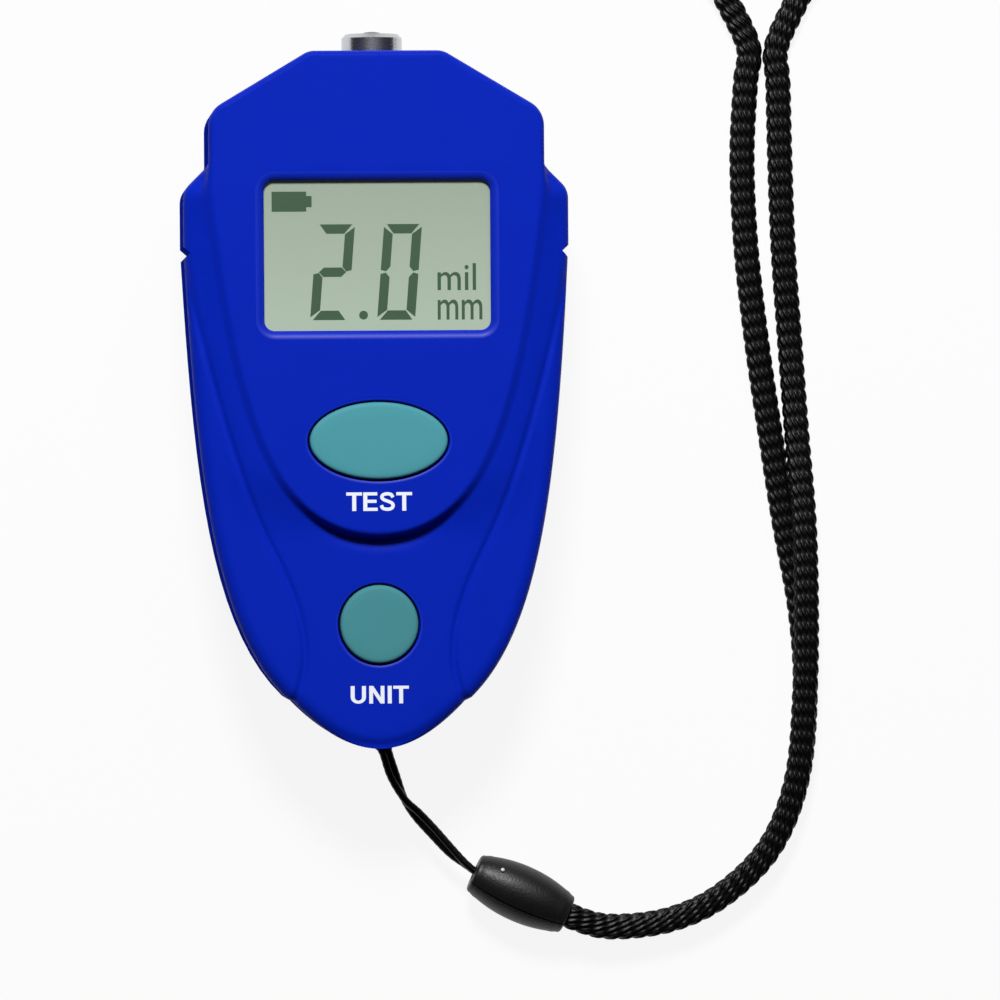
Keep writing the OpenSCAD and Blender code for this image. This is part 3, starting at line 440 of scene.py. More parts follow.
def corner(a, p, b, r, count):
    """A rounded corner at p on the way from a to b."""
    a, p, b = (np.asarray(v, float) for v in (a, p, b))
    into, out = direction(p - a), direction(b - p)
    bend = math.acos(float(np.clip(into @ out, -1, 1)))
    side = math.copysign(1, into[0] * out[1] - into[1] * out[0])
    start = p - into * r * math.tan(bend / 2)
    centre = start + side * r * left_of(into)
    angles = side * bend * np.linspace(0, 1, count + 1)
    turned = np.stack([into[0] * np.cos(angles) - into[1] * np.sin(angles),
                       into[0] * np.sin(angles) + into[1] * np.cos(angles)], 1)
    return centre - side * r * np.stack([-turned[:, 1], turned[:, 0]], 1)


def mirrored(half):
    """The closed outline of a right half and its mirror image, clockwise from the probe end."""
    return np.concatenate([half, half[::-1] * [-1, 1]])


def spaced(loop, step):
    """A closed polyline cut into steps of about the same length, with its own corners kept."""
    points = []
    for a, b in zip(loop, np.roll(loop, -1, 0)):
        count = max(1, int(math.ceil(np.linalg.norm(b - a) / step)))
        points += [a + (b - a) * k / count for k in range(count)]
    return np.array(points)


def distance(points, line, closed=True):
    """The distance of each point from a polyline."""
    a = line if closed else line[:-1]
    b = np.roll(line, -1, 0) if closed else line[1:]
    best = np.full(len(points), np.inf)
    for p, q in zip(a, b):
        d = q - p
        square = float(d @ d)
        if square == 0:
            continue
        t = np.clip(((points - p) @ d) / square, 0, 1)
        best = np.minimum(best, np.linalg.norm(points - p - t[:, None] * d, axis=1))
    return best


def inside(points, loop):
    """Which points lie inside a closed outline."""
    x, y = points[:, 0], points[:, 1]
    found = np.zeros(len(points), bool)
    for (ax, ay), (bx, by) in zip(loop, np.roll(loop, -1, 0)):
        if ay == by:
            continue
        found ^= ((ay > y) != (by > y)) & (x < (bx - ax) * (y - ay) / (by - ay) + ax)
    return found


def inset(loop, amount):
    """A closed clockwise outline moved inwards along its normals."""
    along = np.roll(loop, -1, 0) - np.roll(loop, 1, 0)
    along /= np.linalg.norm(along, axis=1)[:, None]
    return loop + amount * np.stack([along[:, 1], -along[:, 0]], 1)


def plate(half_w, half_l, r, centre, count=7):
    """A rounded rectangle, clockwise."""
    points = []
    for sx, sy, start in ((1, 1, 90), (1, -1, 0), (-1, -1, -90), (-1, 1, -180)):
        for i in range(count):
            a = math.radians(start - 90 * i / (count - 1))
            x = sx * (half_w - r) + r * math.cos(a)
            points.append((x, centre + sy * (half_l - r) + r * math.sin(a)))
    return np.array(points)


def oval(half_w, half_l, centre, count=96):
    """An oval, clockwise."""
    a = -2 * math.pi * np.arange(count) / count
    return np.stack([half_w * np.cos(a), centre + half_l * np.sin(a)], 1)


def smooth_path(route, step):
    """A smooth curve through a route's points, cut into even steps, with each point's place along it."""
    p = np.asarray(route, float)
    p = np.concatenate([[2 * p[0] - p[1]], p, [2 * p[-1] - p[-2]]])
    fine = []
    t = np.linspace(0, 1, 40, endpoint=False)[:, None]
    for a, b, c, d in zip(p, p[1:], p[2:], p[3:]):
        square, cube = 2 * a - 5 * b + 4 * c - d, 3 * b - a - 3 * c + d
        fine.append(0.5 * (2 * b + (c - a) * t + square * t ** 2 + cube * t ** 3))
    fine = np.concatenate(fine + [p[-2:-1]])
    far = np.concatenate([[0], np.cumsum(np.linalg.norm(np.diff(fine, axis=0), axis=1))])
    count = int(round(far[-1] / step))
    places = np.linspace(0, far[-1], count + 1)
    return np.stack([np.interp(places, far, fine[:, k]) for k in range(3)], 1), places


# Curves of the housing's right half, from the probe end to the nose, as in its solids
NOSE_POS = STEP_POS - STEP_DROP
GRIP = [(EAR_HALF - 0.1, NOTCH_POS - NOTCH_L / 2), (EAR_HALF - 1.84, NOTCH_POS * 0.556),
        (EAR_HALF - 4.1, STEP_POS + 10.4), (STEP_HALF, STEP_POS)]
NOSE = [(NOSE_HALF, NOSE_POS), (NOSE_HALF * 0.652, NOSE_POS / 3), (NOSE_HALF * 0.318, 0), (0, 0)]
TONGUE = [(SHOULDER_HALF, EAR_POS - 4.2), (SHOULDER_HALF * 0.84, TONGUE_POS + 17.4),
          (SHOULDER_HALF * 0.635, TONGUE_POS), (0, TONGUE_POS)]
GROOVE_HIGH = [(EAR_HALF + 0.3, NOTCH_POS + 0.1), (EAR_HALF - 2.3, NOTCH_POS - 12.4), (21.3, 40.7),
               (15.9, 30)]
GROOVE_LOW = [(15.9, 30), (11.4, 21.2), (8.8, STEP_POS + 5.5), (NOSE_HALF + 0.6, STEP_POS - 1.5)]


def shoulder_run():
    """The slanted shoulder with its two rounded corners."""
    top = (TOP_HALF, BODY_LEN)
    shoulder = (SHOULDER_HALF, BODY_LEN - SHOULDER_DROP)
    below = (SHOULDER_HALF, EAR_POS)
    return np.concatenate([
        corner((0, BODY_LEN), top, shoulder, CORNER_R, 10),
        corner(top, shoulder, below, SHOULDER_R, 14),
    ])


def housing_half(notched=True):
    """The housing's outline: shoulder, ear with or without its notch, grip and nose."""
    ear_in = (SHOULDER_HALF, EAR_POS)
    ear_out = (EAR_HALF, EAR_POS - (EAR_HALF - SHOULDER_HALF))
    return np.concatenate([
        shoulder_run(),
        corner((SHOULDER_HALF, BODY_LEN - SHOULDER_DROP), ear_in, ear_out, EAR_INNER_R, 6),
        corner(ear_in, ear_out, (EAR_HALF, NOTCH_POS), CORNER_R, 10),
        [(EAR_HALF, NOTCH_POS + NOTCH_L / 2), (EAR_HALF - (NOTCH_D if notched else 0), NOTCH_POS)],
        bezier(GRIP, np.linspace(0, 1, 40)),
        bezier(NOSE, np.linspace(0, 0.985, 26)),
    ])


def shield_half():
    """The outline of the raised shield: shoulder and tongue."""
    return np.concatenate([shoulder_run(), bezier(TONGUE, np.linspace(0, 0.99, 60))])


def groove(side):
    """The middle line of the groove in the grip on the right, 1, or on the left, -1."""
    high = bezier(GROOVE_HIGH, np.linspace(0, 1, 60))
    low = bezier(GROOVE_LOW, np.linspace(0, 1, 50))[1:]
    return np.concatenate([high, low]) * [side, 1]


OUTLINE = spaced(mirrored(housing_half()), OUTLINE_STEP)
EDGE_LINE = spaced(mirrored(housing_half(notched=False)), OUTLINE_STEP)
SHIELD = spaced(mirrored(shield_half()), SHIELD_STEP)
GROOVES = [groove(1), groove(-1)]


# Front case
def ease(t):
    """A smooth step from 0 to 1."""
    t = np.clip(t, 0, 1)
    return t * t * (3 - 2 * t)


def face_height(points):
    """Height of the front face: rounded edges, soft grip grooves and the raised shield panel."""
    d = distance(points, EDGE_LINE)
    near = EDGE_R - np.minimum(d, EDGE_R)
    low = FACE_H - EDGE_R + np.sqrt(EDGE_R ** 2 - near ** 2)
    for line in GROOVES:
        g = np.minimum(distance(points, line, closed=False) / GROOVE_HALF, 1)
        low -= GROOVE_D * 0.5 * (1 + np.cos(math.pi * g))

    s = distance(points, SHIELD) * np.where(inside(points, SHIELD), 1, -1)
    out = np.maximum(-s, 0)
    share = out / (out + np.maximum(d - EDGE_R / 2, LEAST_REACH))
    climb = ease((points[:, 1] - BLEND_START) / BLEND_LEN)
    low += BLEND_RISE * climb * (1 - ease(share))
    x = np.minimum(np.abs(points[:, 0]) / TONGUE_FOOT_HALF, 1)
    tip = np.where(points[:, 1] < BODY_LEN / 2, (1 - x ** 2) ** 2, 0)
    low -= HOLLOW_D * tip * (1 - ease(-s / HOLLOW_REACH))

    near = SHIELD_R - np.clip(s, 0, SHIELD_R)
    high = SHIELD_H - SHIELD_R + np.sqrt(SHIELD_R ** 2 - near ** 2)
    fall = 1 - (1 - np.clip(-s / TONGUE_FOOT, 0, 1)) ** 2
    steep = high - (SHIELD_H - SHIELD_R - FACE_H + HOLLOW_D) * fall
    soft = low + (SHIELD_H - low) * ease((s + WALL_REACH) / (WALL_REACH + SHIELD_R))
    shape = np.where(s > -WALL_REACH, soft, low)
    shape = shape * (1 - tip) + np.maximum(steep, low) * tip
    return np.where(s > SHIELD_R, SHIELD_H, shape)


def clear_of(points, rim, rim_gap, holes):
    """The points that lie inside a rim and outside its holes, a gap away from both."""
    keep = inside(points, rim) & (distance(points, rim) > rim_gap)
    for hole in holes:
        keep &= ~inside(points, hole) & (distance(points, hole) > HOLE_CLEAR)
    return points[keep]


def sheet_points(holes):
    """Points that the front face is meshed through: close together where it bends."""
    points = [inset(OUTLINE, a) for a in EDGE_RINGS]
    points += [inset(SHIELD, a) for a in SHIELD_RINGS]
    tip = SHIELD[(SHIELD[:, 1] < BODY_LEN / 2) & (np.abs(SHIELD[:, 0]) < TONGUE_FOOT_HALF)]
    points += [tip - [0, a] for a in TIP_RINGS]
    for line in GROOVES:
        points += [line + a * sides_of(line) for a in GROOVE_RINGS]
    for hole in holes:
        points += [inset(hole, -a) for a in HOLE_RINGS]
    half = math.floor(EAR_HALF)
    xs, ys = np.meshgrid(np.arange(-half, half + 0.1, GRID_STEP), np.arange(1, BODY_LEN, GRID_STEP))
    points.append(np.stack([xs.ravel(), ys.ravel()], 1))
    points = clear_of(np.concatenate(points), OUTLINE, RIM_CLEAR, holes)
    cells = np.unique(np.round(points / LEAST_GAP).astype(int), axis=0, return_index=True)[1]
    return points[np.sort(cells)]


def meshed(loops, points):
    """Triangles between closed loops, of which the first is the rim and the rest are holes."""
    flat, edges = [], []
    for loop in loops:
        first = len(flat)
        flat += [tuple(p) for p in loop]
        edges += [(first + i, first + (i + 1) % len(loop)) for i in range(len(loop))]
    flat += [tuple(p) for p in points]
    made = delaunay_2d_cdt([Vector(p) for p in flat], edges, [], 0, 1e-5)
    coords = np.array([tuple(p) for p in made[0]])
    origin = {}
    for new, olds in enumerate(made[3]):
        for old in olds:
            origin[old] = new
    triangles = np.array([f for f in made[2] if len(f) == 3])
    middle = coords[triangles].mean(1)
    keep = inside(middle, loops[0])
    for hole in loops[1:]:
        keep &= ~inside(middle, hole)
    triangles = triangles[keep]
    a, b, c = (coords[triangles[:, k]] for k in range(3))
    turned = (b - a)[:, 0] * (c - a)[:, 1] - (b - a)[:, 1] * (c - a)[:, 0] < 0
    triangles[turned] = triangles[turned][:, ::-1]
    rims, first = [], 0
    for loop in loops:
        rims.append([origin[first + i] for i in range(len(loop))])
        first += len(loop)
    return coords, triangles, rims


def front_case():
    """The front case as one shell: front face, side walls, inside and the rims of its openings."""
    bevel = plate(WINDOW_W / 2 + BEVEL_W, WINDOW_L / 2 + BEVEL_W, BEVEL_R, WINDOW_POS)
    window = plate(WINDOW_W / 2, WINDOW_L / 2, WINDOW_R, WINDOW_POS)
    pocket = plate(WINDOW_W / 2 + LENS_LAP, WINDOW_L / 2 + LENS_LAP, BEVEL_R, WINDOW_POS)
    wide = CAP_GAP + RIM_BEVEL
    well_rings = (wide, wide - RIM_MID, CAP_GAP)
    test_well = [oval(TEST_HALF_W + a, TEST_HALF_L + a, TEST_POS) for a in well_rings]
    unit_well = [oval(UNIT_R + a, UNIT_R + a, UNIT_POS) for a in well_rings]
    holes = [inset(bevel, -LIP_OUT), test_well[0], unit_well[0]]
    points = sheet_points(holes)
    shell = Shell()

    top, triangles, rims = meshed([OUTLINE] + holes, points)
    z = face_height(top)
    ids = np.array(shell.add(np.column_stack([top, z])))
    shell.faces += [tuple(ids[list(t)]) for t in triangles]
    outer = [ids[rims[0]]]
    for depth in WALL_RINGS:
        outer.append(shell.add(np.column_stack([top[rims[0]], z[rims[0]] - depth])))
    for height, depth in SPLIT_RINGS:
        outer.append(shell.add(at_height(inset(OUTLINE, depth), SPLIT_H + height)))

    middle = np.array([0, BODY_LEN / 2])
    shrink = np.array([1 - SKIN_T / EAR_HALF, 1 - 2 * SKIN_T / BODY_LEN])
    inner_rim = middle + (OUTLINE - middle) * shrink
    inner_holes = [pocket, test_well[2], unit_well[2]]
    inner_points = clear_of(points, inner_rim, INNER_CLEAR, inner_holes)[::INNER_THINNING]
    under, under_triangles, under_rims = meshed([inner_rim] + inner_holes, inner_points)
    low = np.array(shell.add(np.column_stack([under, face_height(under) - SKIN_T])))
    shell.faces += [tuple(low[list(t[::-1])]) for t in under_triangles]
    outer.append(shell.add(at_height(inner_rim, SPLIT_H)))
    outer.append(low[under_rims[0]])
    walls = range(len(shell.faces), len(shell.faces) + len(OUTLINE) * (len(outer) - 1))
    shell.join([list(r) for r in outer])

    bevel_rows = [(inset(bevel, a), SHIELD_H - d) for a, d in BEVEL_STEPS]
    ledge = SHIELD_H - BEVEL_D
    openings = [
        (len(BEVEL_STEPS), bevel_rows + [(window, ledge), (pocket, ledge - LEDGE_T)]),
        (1, [(test_well[1], SHIELD_H - RIM_MID_D), (test_well[2], SHIELD_H - RIM_BEVEL)]),
        (1, [(unit_well[1], FACE_H - RIM_MID_D), (unit_well[2], FACE_H - RIM_BEVEL)]),
    ]
    polished = []
    for (bright, steps), rim, under_rim in zip(openings, rims[1:], under_rims[1:]):
        rows = [list(ids[rim])]
        polished += range(len(shell.faces), len(shell.faces) + len(rim) * bright)
        rows += [shell.add(at_height(loop, height)) for loop, height in steps]
        rows.append(list(low[under_rim]))
        shell.join([r[::-1] for r in rows])
    made = shell.made("front_shell", case_blue, "case", "case_blue", sharp=35)
    for index, (finish, faces) in enumerate(((polished_blue, polished), (wall_blue, walls)), 1):
        made.data.materials.append(finish)
        for i in faces:
            made.data.polygons[i].material_index = index
    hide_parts("front_case")


front_case()


# Buttons
def button(name, node, body, material, half_w, half_l, pos, face):
    """A cap with a softly crowned top and a rounded edge, standing out of a face."""
    half_w, half_l = half_w + CAP_SPREAD, half_l + CAP_SPREAD
    top = face + CAP_RISE
    flat, drop = CAP_EDGE[-1]
    shell = Shell()
    rows = [shell.add(at_height(oval(half_w, half_l, pos), face - CAP_SKIRT))]
    rows += [shell.add(at_height(oval(half_w - a, half_l - a, pos), top - d)) for a, d in CAP_EDGE]
    for k in CROWN_RINGS:
        loop = oval((half_w - flat) * k, (half_l - flat) * k, pos)
        rows.append(shell.add(at_height(loop, top - drop * k * k * (1 + flat / half_l))))
    shell.join([r[::-1] for r in rows])
    shell.faces += [tuple(rows[-1][::-1]), tuple(rows[0])]
    made = shell.made(name, material, body, "key_teal", sharp=50)
    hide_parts(node)


button("test_cap", "test_button", "test_key", key_teal, TEST_HALF_W, TEST_HALF_L, TEST_POS, SHIELD_H)
button("unit_cap", "unit_button", "unit_key", unit_teal, UNIT_R, UNIT_R, UNIT_POS, FACE_H)


# Display: a clear window with the display's face under it
def slab(name, margin, r, low, high, edge, material, slot):
    """A rounded plate that reaches past the window, with a small bevel round its top and bottom."""
    half_w, half_l = WINDOW_W / 2 + margin, WINDOW_L / 2 + margin
    shell = Shell()
    steps = [(edge, low), (0, low + edge), (0, high - edge), (edge, high)]
    rows = [shell.add(at_height(plate(half_w - a, half_l - a, r, WINDOW_POS), z)) for a, z in steps]
    shell.join([r[::-1] for r in rows])
    shell.faces += [tuple(rows[0]), tuple(rows[-1][::-1])]
    return shell.made(name, material, "case", slot, sharp=30)


clear_sheet = slab("clear_window", SHEET_MARGIN, SHEET_R, LENS_TOP - LENS_T, LENS_TOP, SHEET_EDGE,
                   lens_clear, "window_clear")
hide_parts("display_window")
slab("display_face", FACE_MARGIN, FACE_R, GLASS_TOP, FACE_TOP, FACE_EDGE, lcd_film, "lcd_grey")


# Signs in the display
def lettering(name, words, centre, height, width):
    """Plain letters as a thin raised mesh of a given height and width, centred on a point."""
    curve = bpy.data.curves.new(name, "FONT")
    curve.body = words
    curve.size = 1
    curve.offset = SIGN_BOLD
    curve.extrude = 0.5
    curve.resolution_u = 6
    text = bpy.data.objects.new(name, curve)
    bpy.context.scene.collection.objects.link(text)
    bpy.context.view_layer.update()
    mesh = bpy.data.meshes.new_from_object(text.evaluated_get(bpy.context.evaluated_depsgraph_get()))
    bpy.data.objects.remove(text)
    co = np.array([v.co for v in mesh.vertices])
    low, high = co.min(0), co.max(0)
    scale = np.array([width, height, INK_T]) / (high - low)
    co = (co - (low + high) / 2) * scale + [centre[0], centre[1], FACE_TOP + INK_T / 2]
    faces = [tuple(p.vertices) for p in mesh.polygons]
    bpy.data.meshes.remove(mesh)
    make(name, co, faces, lcd_ink, "case")


def segments(lit):
    """The outlines of a figure's lit segments, in a box that starts at its lower left corner."""
    w, h, t, g, nip = DIGIT_W, DIGIT_H, DIGIT_T, DIGIT_GAP, DIGIT_NIP
    top = [(nip + g, h), (w - nip - g, h), (w - t - g, h - t), (t + g, h - t)]
    right = [(w, h - nip - g), (w, h / 2 + nip), (w - t / 2 - g, h / 2 + g),
             (w - t, h / 2 + t / 2 + g), (w - t, h - t - g)]
    bar = [(t / 2 + g, h / 2), (t + g, h / 2 + t / 2), (w - t - g, h / 2 + t / 2),
           (w - t / 2 - g, h / 2), (w - t - g, h / 2 - t / 2), (t + g, h / 2 - t / 2)]

    def over(shape):
        return [(x, h - y) for x, y in shape]

    def across(shape):
        return [(w - x, y) for x, y in shape]

    shapes = {"a": top, "b": right, "c": over(right), "d": over(top), "e": over(across(right)),
              "f": across(right), "g": bar}
    return [shapes[k] for k in lit]


def printed(name, outlines, z=FACE_TOP, material=lcd_ink, slot="lcd_grey"):
    """Thin raised plates of ink from flat outlines."""
    shell = Shell()
    for outline in outlines:
        outline = np.asarray(outline, float)
        x, y = outline[:, 0], outline[:, 1]
        area = np.sum(x * np.roll(y, -1) - y * np.roll(x, -1))
        outline = outline if area > 0 else outline[::-1]
        low = shell.add(at_height(outline, z))
        high = shell.add(at_height(outline, z + INK_T))
        shell.join([low, high])
        shell.faces += [tuple(high), tuple(low[::-1])]
    shell.made(name, material, "case", slot)


def figure(name, lit, left):
    """A slanted figure of seven segments."""
    slanted = [
        [(left + x + DIGIT_SLANT * y, DIGIT_LOW + y) for x, y in shape] for shape in segments(lit)
    ]
    printed(name, slanted)


for name, (words, centre, height, width) in UNIT_SIGNS.items():
    lettering(name, words, centre, height, width)
for name, (lit, left) in FIGURES.items():
    figure(name, lit, left)
printed("decimal_point", [oval(POINT_R, POINT_R, POINT_POS, POINT_SIDES) + [POINT_X, 0]])
printed("battery_sign", [BATTERY_SIGN])


# Words beside the buttons, in letters that are 1 high
def curved_letter(centre, half):
    """The outline of a letter drawn as one curved stroke."""
    line, _ = smooth_path([(x, y, 0) for x, y in centre], 0.04)
    line = line[:, :2]
    side = half * sides_of(line)
    return np.concatenate([line + side, (line - side)[::-1]])


def round_letter(half, foot):
    """The outline of a U, of half its width and with the height of its bend."""
    a = np.radians(np.linspace(180, 360, 17))
    inner_half, inner_foot = half - LETTER_STEM, foot - LETTER_BAR
    outer = np.stack([half + half * np.cos(a), foot + foot * np.sin(a)], 1)
    inner = np.stack([half + inner_half * np.cos(a), foot + inner_foot * np.sin(a)], 1)[::-1]
    ends = [(2 * half, 1), (2 * half - LETTER_STEM, 1)]
    return np.concatenate([[(0, 1)], outer, ends, inner, [(LETTER_STEM, 1)]])


LETTERS = {
    "T": [(0, 1), (0, 0.83), (0.305, 0.83), (0.305, 0), (0.515, 0), (0.515, 0.83), (0.82, 0.83), (0.82, 1)],
    "E": [(0, 0), (0.75, 0), (0.75, 0.17), (0.21, 0.17), (0.21, 0.43), (0.69, 0.43), (0.69, 0.6),
          (0.21, 0.6), (0.21, 0.83), (0.73, 0.83), (0.73, 1), (0, 1)],
    "S": curved_letter([(0.69, 0.72), (0.6, 0.87), (0.4, 0.915), (0.18, 0.86), (0.12, 0.72), (0.22, 0.6),
                        (0.42, 0.52), (0.63, 0.42), (0.7, 0.28), (0.61, 0.13), (0.4, 0.085), (0.17, 0.14),
                        (0.09, 0.3)], 0.088),
    "U": round_letter(0.4, 0.37),
    "N": [(0, 0), (0.2, 0), (0.2, 0.64), (0.59, 0), (0.8, 0), (0.8, 1), (0.6, 1), (0.6, 0.36), (0.21, 1),
          (0, 1)],
    "I": [(0, 0), (0.21, 0), (0.21, 1), (0, 1)],
}
LETTER_GAPS = {"T": 0.06, "E": 0.1, "S": 0.08, "U": 0.17, "N": 0.17, "I": 0.08}


def label(name, word, pos, height, width, z):
    """A word in plain bold letters, on the middle line."""
    shapes, place = [], 0.0
    for letter in word:
        shape = np.array(LETTERS[letter], float)
        shapes.append(shape + [place, 0])
        place += shape[:, 0].max() + LETTER_GAPS[letter]
    wide = shapes[-1][:, 0].max()
    scale = np.array([width / wide, height])
    printed(name, [(s - [wide / 2, 0.5]) * scale + [0, pos] for s in shapes], z, ink_white, "case_blue")


for name, (word, pos, height, width, z) in LABELS.items():
    label(name, word, pos, height, width, z)


# Wrist strap: thread, bead and knitted cord
def tube(name, path, offsets, material, slot):
    """A closed tube along a path that lies about level, from each ring's offsets across and up."""
    along = np.gradient(path, axis=0)
    along /= np.linalg.norm(along, axis=1)[:, None]
    across = np.cross([0, 0, 1], along)
    across /= np.linalg.norm(across, axis=1)[:, None]
    up = np.cross(along, across)
    rings = path[:, None, :] + offsets[..., :1] * across[:, None, :] + offsets[..., 1:] * up[:, None, :]
    shell = Shell()
    rows = [shell.add(ring) for ring in rings]
    for near, far in zip(rows, rows[1:]):
        shell.faces += bridge(far, near)
    shell.faces += [tuple(rows[0][::-1]), tuple(rows[-1])]
    return shell.made(name, material, "case", slot, sharp=80)


def thread():
    """Two plies laid round each other."""
    path, far = smooth_path(THREAD_ROUTE, THREAD_STEP)
    a = np.linspace(0, 2 * math.pi, THREAD_SIDES, endpoint=False)
    turn = 2 * math.pi * far[:, None] / THREAD_LAY
    r = THREAD_D / 2 * (PLY_FULL + PLY_RISE * np.abs(np.cos(a[None, :] - turn)))
    offsets = np.stack([r * np.cos(a), r * np.sin(a)], 2)
    made = tube("thread_ply", path, offsets, yarn_black, "strap_black")
    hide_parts("strap_thread")
    tuple(row(THREAD_EXIT)[0])
    row(path).tolist()


def strap_section(count):
    """Points evenly spaced round the strap's flat section, their outward directions and its girth."""
    a = np.linspace(0, 2 * math.pi, SECTION_SIDES, endpoint=False)
    c, s = np.cos(a), np.sin(a)
    half_w, half_t = STRAP_W / 2 - SECTION_INSET, STRAP_T / 2 - SECTION_INSET
    loop = np.stack([np.sign(c) * np.abs(c) ** SECTION_POWER * half_w,
                     np.sign(s) * np.abs(s) ** SECTION_POWER * half_t], 1)
    step = np.linalg.norm(np.roll(loop, -1, 0) - loop, axis=1)
    far = np.concatenate([[0], np.cumsum(step)])
    closed = np.concatenate([loop, loop[:1]])
    places = np.linspace(0, far[-1], count, endpoint=False)
    points = np.stack([np.interp(places, far, closed[:, k]) for k in range(2)], 1)
    along = np.roll(points, -1, 0) - np.roll(points, 1, 0)
    along /= np.linalg.norm(along, axis=1)[:, None]
    return points, np.stack([along[:, 1], -along[:, 0]], 1), far[-1]


def strap():
    """A flat knitted cord: rows of leaning loops of yarn all round it."""
    path, far = smooth_path(STRAP_ROUTE, STITCH / LOOP_ROWS)
    count = COLUMNS * LOOP_POINTS
    section, out, girth = strap_section(count)
    column = np.arange(count) / LOOP_POINTS
    side = (column % 1 - 0.5 + 0.5 / LOOP_POINTS) * girth / COLUMNS
    along = ((far[:, None] / STITCH) % 1 - 0.5) * STITCH
    wide = side * math.cos(STITCH_LEAN) - along * math.sin(STITCH_LEAN)
    long = side * math.sin(STITCH_LEAN) + along * math.cos(STITCH_LEAN)
    size = (wide / STITCH_HALF_W) ** 2 + (long / STITCH_HALF_L) ** 2
    lift = YARN * (np.sqrt(np.clip(1 - size, 0, 1)) - STITCH_SINK)
    offsets = section[None, :, :] + lift[..., None] * out[None, :, :]
    made = tube("knitted_strap", path, offsets, yarn_black, "strap_black")
    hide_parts("strap_cord")
    tuple(row(STRAP_EXIT)[0])
    row(path).tolist()


def bead(name, node, roll):
    """Half of the barrel-shaped bead, with a collar at each end and a bore for the strap."""
    half = BEAD_LEN / 2
    end = half - BEAD_ROUND
    x = np.linspace(-end, end, BEAD_RINGS)
    bulge = BEAD_R - (BEAD_R - BEAD_END_R) * np.abs(x / end) ** BEAD_POWER
    bulge += COLLAR_RISE * np.exp(-((np.abs(x) - end + COLLAR_IN) / COLLAR_HALF) ** 2)
    quarter = np.radians(np.linspace(0, 90, BEAD_ROUND_STEPS))
    near_end = np.stack([BEAD_END_R - BEAD_ROUND * (1 - np.sin(quarter)),
                         -end - BEAD_ROUND * np.cos(quarter)], 1)
    far_end = near_end[::-1] * [1, -1]
    bore = [(BEAD_BORE, half), (BEAD_BORE, BEAD_CAP - half), (BEAD_THREAD_R, BEAD_CAP - half),
            (BEAD_THREAD_R, -half)]
    profile = np.concatenate([bore, near_end, np.stack([bulge, x], 1)[1:-1], far_end])
    r, along = profile[:, 0], profile[:, 1]
    turn = math.radians(BEAD_TURN)
    shell = Shell()
    rows = []
    for a in np.radians(np.linspace(BEAD_SEAM, 180 - BEAD_SEAM, BEAD_SLICES) + roll):
        y, z = r * math.cos(a), r * math.sin(a)
        points = np.stack([along * math.cos(turn) - y * math.sin(turn),
                           along * math.sin(turn) + y * math.cos(turn), z], 1)
        rows.append(shell.add(points + BEAD_POS))
    shell.join([r[::-1] for r in rows])
    shell.faces += [tuple(rows[0]), tuple(rows[-1][::-1])]
    made = shell.made(name, bead_black, "case", "bead_black", sharp=45)
    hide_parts(node)
    return made


def bead_glint():
    """A small dome on the bead, coloured pale: a painted glint."""
    turn, a = math.radians(BEAD_TURN), math.radians(GLINT_ANGLE)
    axis = np.array([math.cos(turn), math.sin(turn), 0])
    up = np.array([-math.sin(turn) * math.cos(a), math.cos(turn) * math.cos(a), math.sin(a)])
    side = np.cross(axis, up)
    centre = np.array(BEAD_POS) + GLINT_ALONG * axis + (BEAD_R - GLINT_SINK) * up
    angles = np.linspace(0, 2 * math.pi, GLINT_SIDES, endpoint=False)[:, None]
    circle = np.cos(angles) * axis + np.sin(angles) * side
    shell = Shell()
    rows = []
    for b in np.radians(np.arange(GLINT_RINGS) * 90 / GLINT_RINGS):
        ring = GLINT_R * math.cos(b) * circle
        rows.append(shell.add(centre + ring + (GLINT_FOOT + GLINT_RISE * math.sin(b)) * up))
    tip = shell.add([centre + (GLINT_FOOT + GLINT_RISE) * up])[0]
    shell.join([r[::-1] for r in rows])
    last = rows[-1]
    shell.faces += [(last[(i + 1) % GLINT_SIDES], last[i], tip) for i in range(GLINT_SIDES)]
    shell.faces.append(tuple(rows[0]))
    shell.made("bead_painted_glint", painted_glint, "case", "bead_black", sharp=60)


thread()
bead_glint()
bead_halves = [bead("bead_top", "bead_upper", BEAD_ROLL), bead("bead_base", "bead_lower", BEAD_ROLL + 180)]
strap()


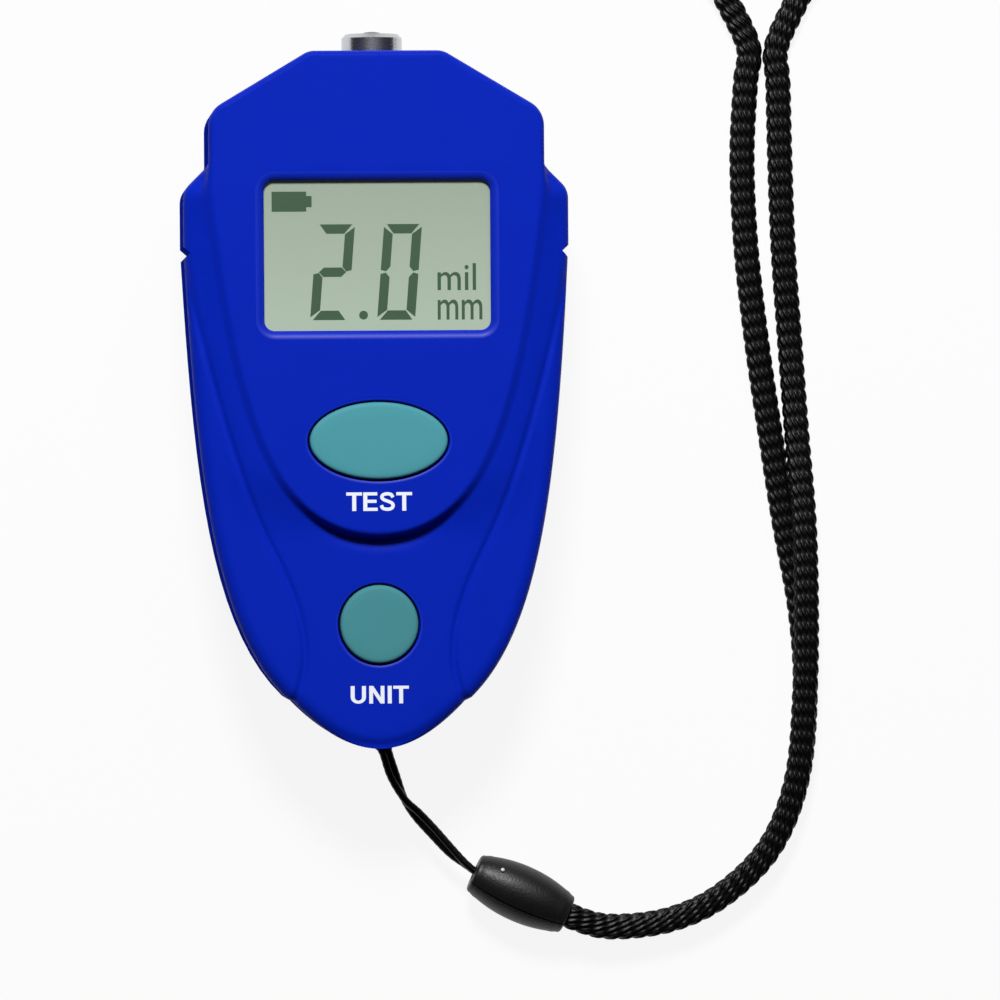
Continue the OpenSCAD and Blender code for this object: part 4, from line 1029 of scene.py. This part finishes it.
# Floor, light and camera
def floor():
    """A pale floor that the camera, gloss and glass see as nearly white, with the shadow on it."""
    h = FLOOR_HALF
    mesh = bpy.data.meshes.new("floor")
    corners = [(-h, -h, FLOOR_Z), (h, -h, FLOOR_Z), (h, h, FLOOR_Z), (-h, h, FLOOR_Z)]
    mesh.from_pydata(corners, [], [(0, 1, 2, 3)])
    obj = bpy.data.objects.new("floor", mesh)
    bpy.context.scene.collection.objects.link(obj)
    paper = bpy.data.materials.new("floor_paper")
    paper.use_nodes = True
    n, link = paper.node_tree.nodes, paper.node_tree.links.new
    shader = n["Principled BSDF"]
    shader.inputs["Base Color"].default_value = (FLOOR_GREY, FLOOR_GREY, FLOOR_GREY, 1)
    shader.inputs["Roughness"].default_value = FLOOR_ROUGH
    glow = n.new("ShaderNodeEmission")
    path = n.new("ShaderNodeLightPath")
    seen = n.new("ShaderNodeMath")
    seen.operation = "MAXIMUM"
    seen_more = n.new("ShaderNodeMath")
    seen_more.operation = "MAXIMUM"
    share = n.new("ShaderNodeMath")
    share.operation = "MULTIPLY"
    share.inputs[1].default_value = FLOOR_GLOW
    mix = n.new("ShaderNodeMixShader")
    link(path.outputs["Is Camera Ray"], seen.inputs[0])
    link(path.outputs["Is Glossy Ray"], seen.inputs[1])
    link(seen.outputs[0], seen_more.inputs[0])
    link(path.outputs["Is Transmission Ray"], seen_more.inputs[1])
    link(seen_more.outputs[0], share.inputs[0])
    link(share.outputs[0], mix.inputs[0])
    link(shader.outputs[0], mix.inputs[1])
    link(glow.outputs[0], mix.inputs[2])
    link(mix.outputs[0], n["Material Output"].inputs["Surface"])
    mesh.materials.append(paper)


def sky():
    """A faint even light from all round."""
    world = bpy.data.worlds.new("studio")
    world.use_nodes = True
    background = world.node_tree.nodes["Background"]
    background.inputs["Color"].default_value = (1, 1, 1, 1)
    background.inputs["Strength"].default_value = WORLD_LIGHT
    bpy.context.scene.world = world


def lamp(name, place, size, power):
    """A round soft lamp that points at the gauge."""
    data = bpy.data.lights.new(name, "AREA")
    data.shape = "DISK"
    data.size = size
    data.energy = power
    obj = bpy.data.objects.new(name, data)
    obj.location = place
    obj.rotation_euler = (Vector(LAMP_AIM) - Vector(place)).to_track_quat("-Z", "Y").to_euler()
    bpy.context.scene.collection.objects.link(obj)


def camera():
    """A long lens nearly straight above, whose frame is that of the photograph."""
    data = bpy.data.cameras.new("camera")
    data.lens = VIEW_LENS
    data.sensor_width = VIEW_SENSOR
    obj = bpy.data.objects.new("camera", data)
    bpy.context.scene.collection.objects.link(obj)
    stand_off = VIEW_SPAN * VIEW_LENS / VIEW_SENSOR
    obj.rotation_euler = (0, -VIEW_LEAN, VIEW_ROLL)
    obj.location = VIEW_CENTRE + obj.rotation_euler.to_matrix() @ Vector((0, 0, stand_off))
    bpy.context.scene.camera = obj


floor()
sky()
for name, (place, size, power) in LAMPS.items():
    lamp(name, place, size, power)
camera()
bpy.context.scene.view_settings.view_transform = "Standard"
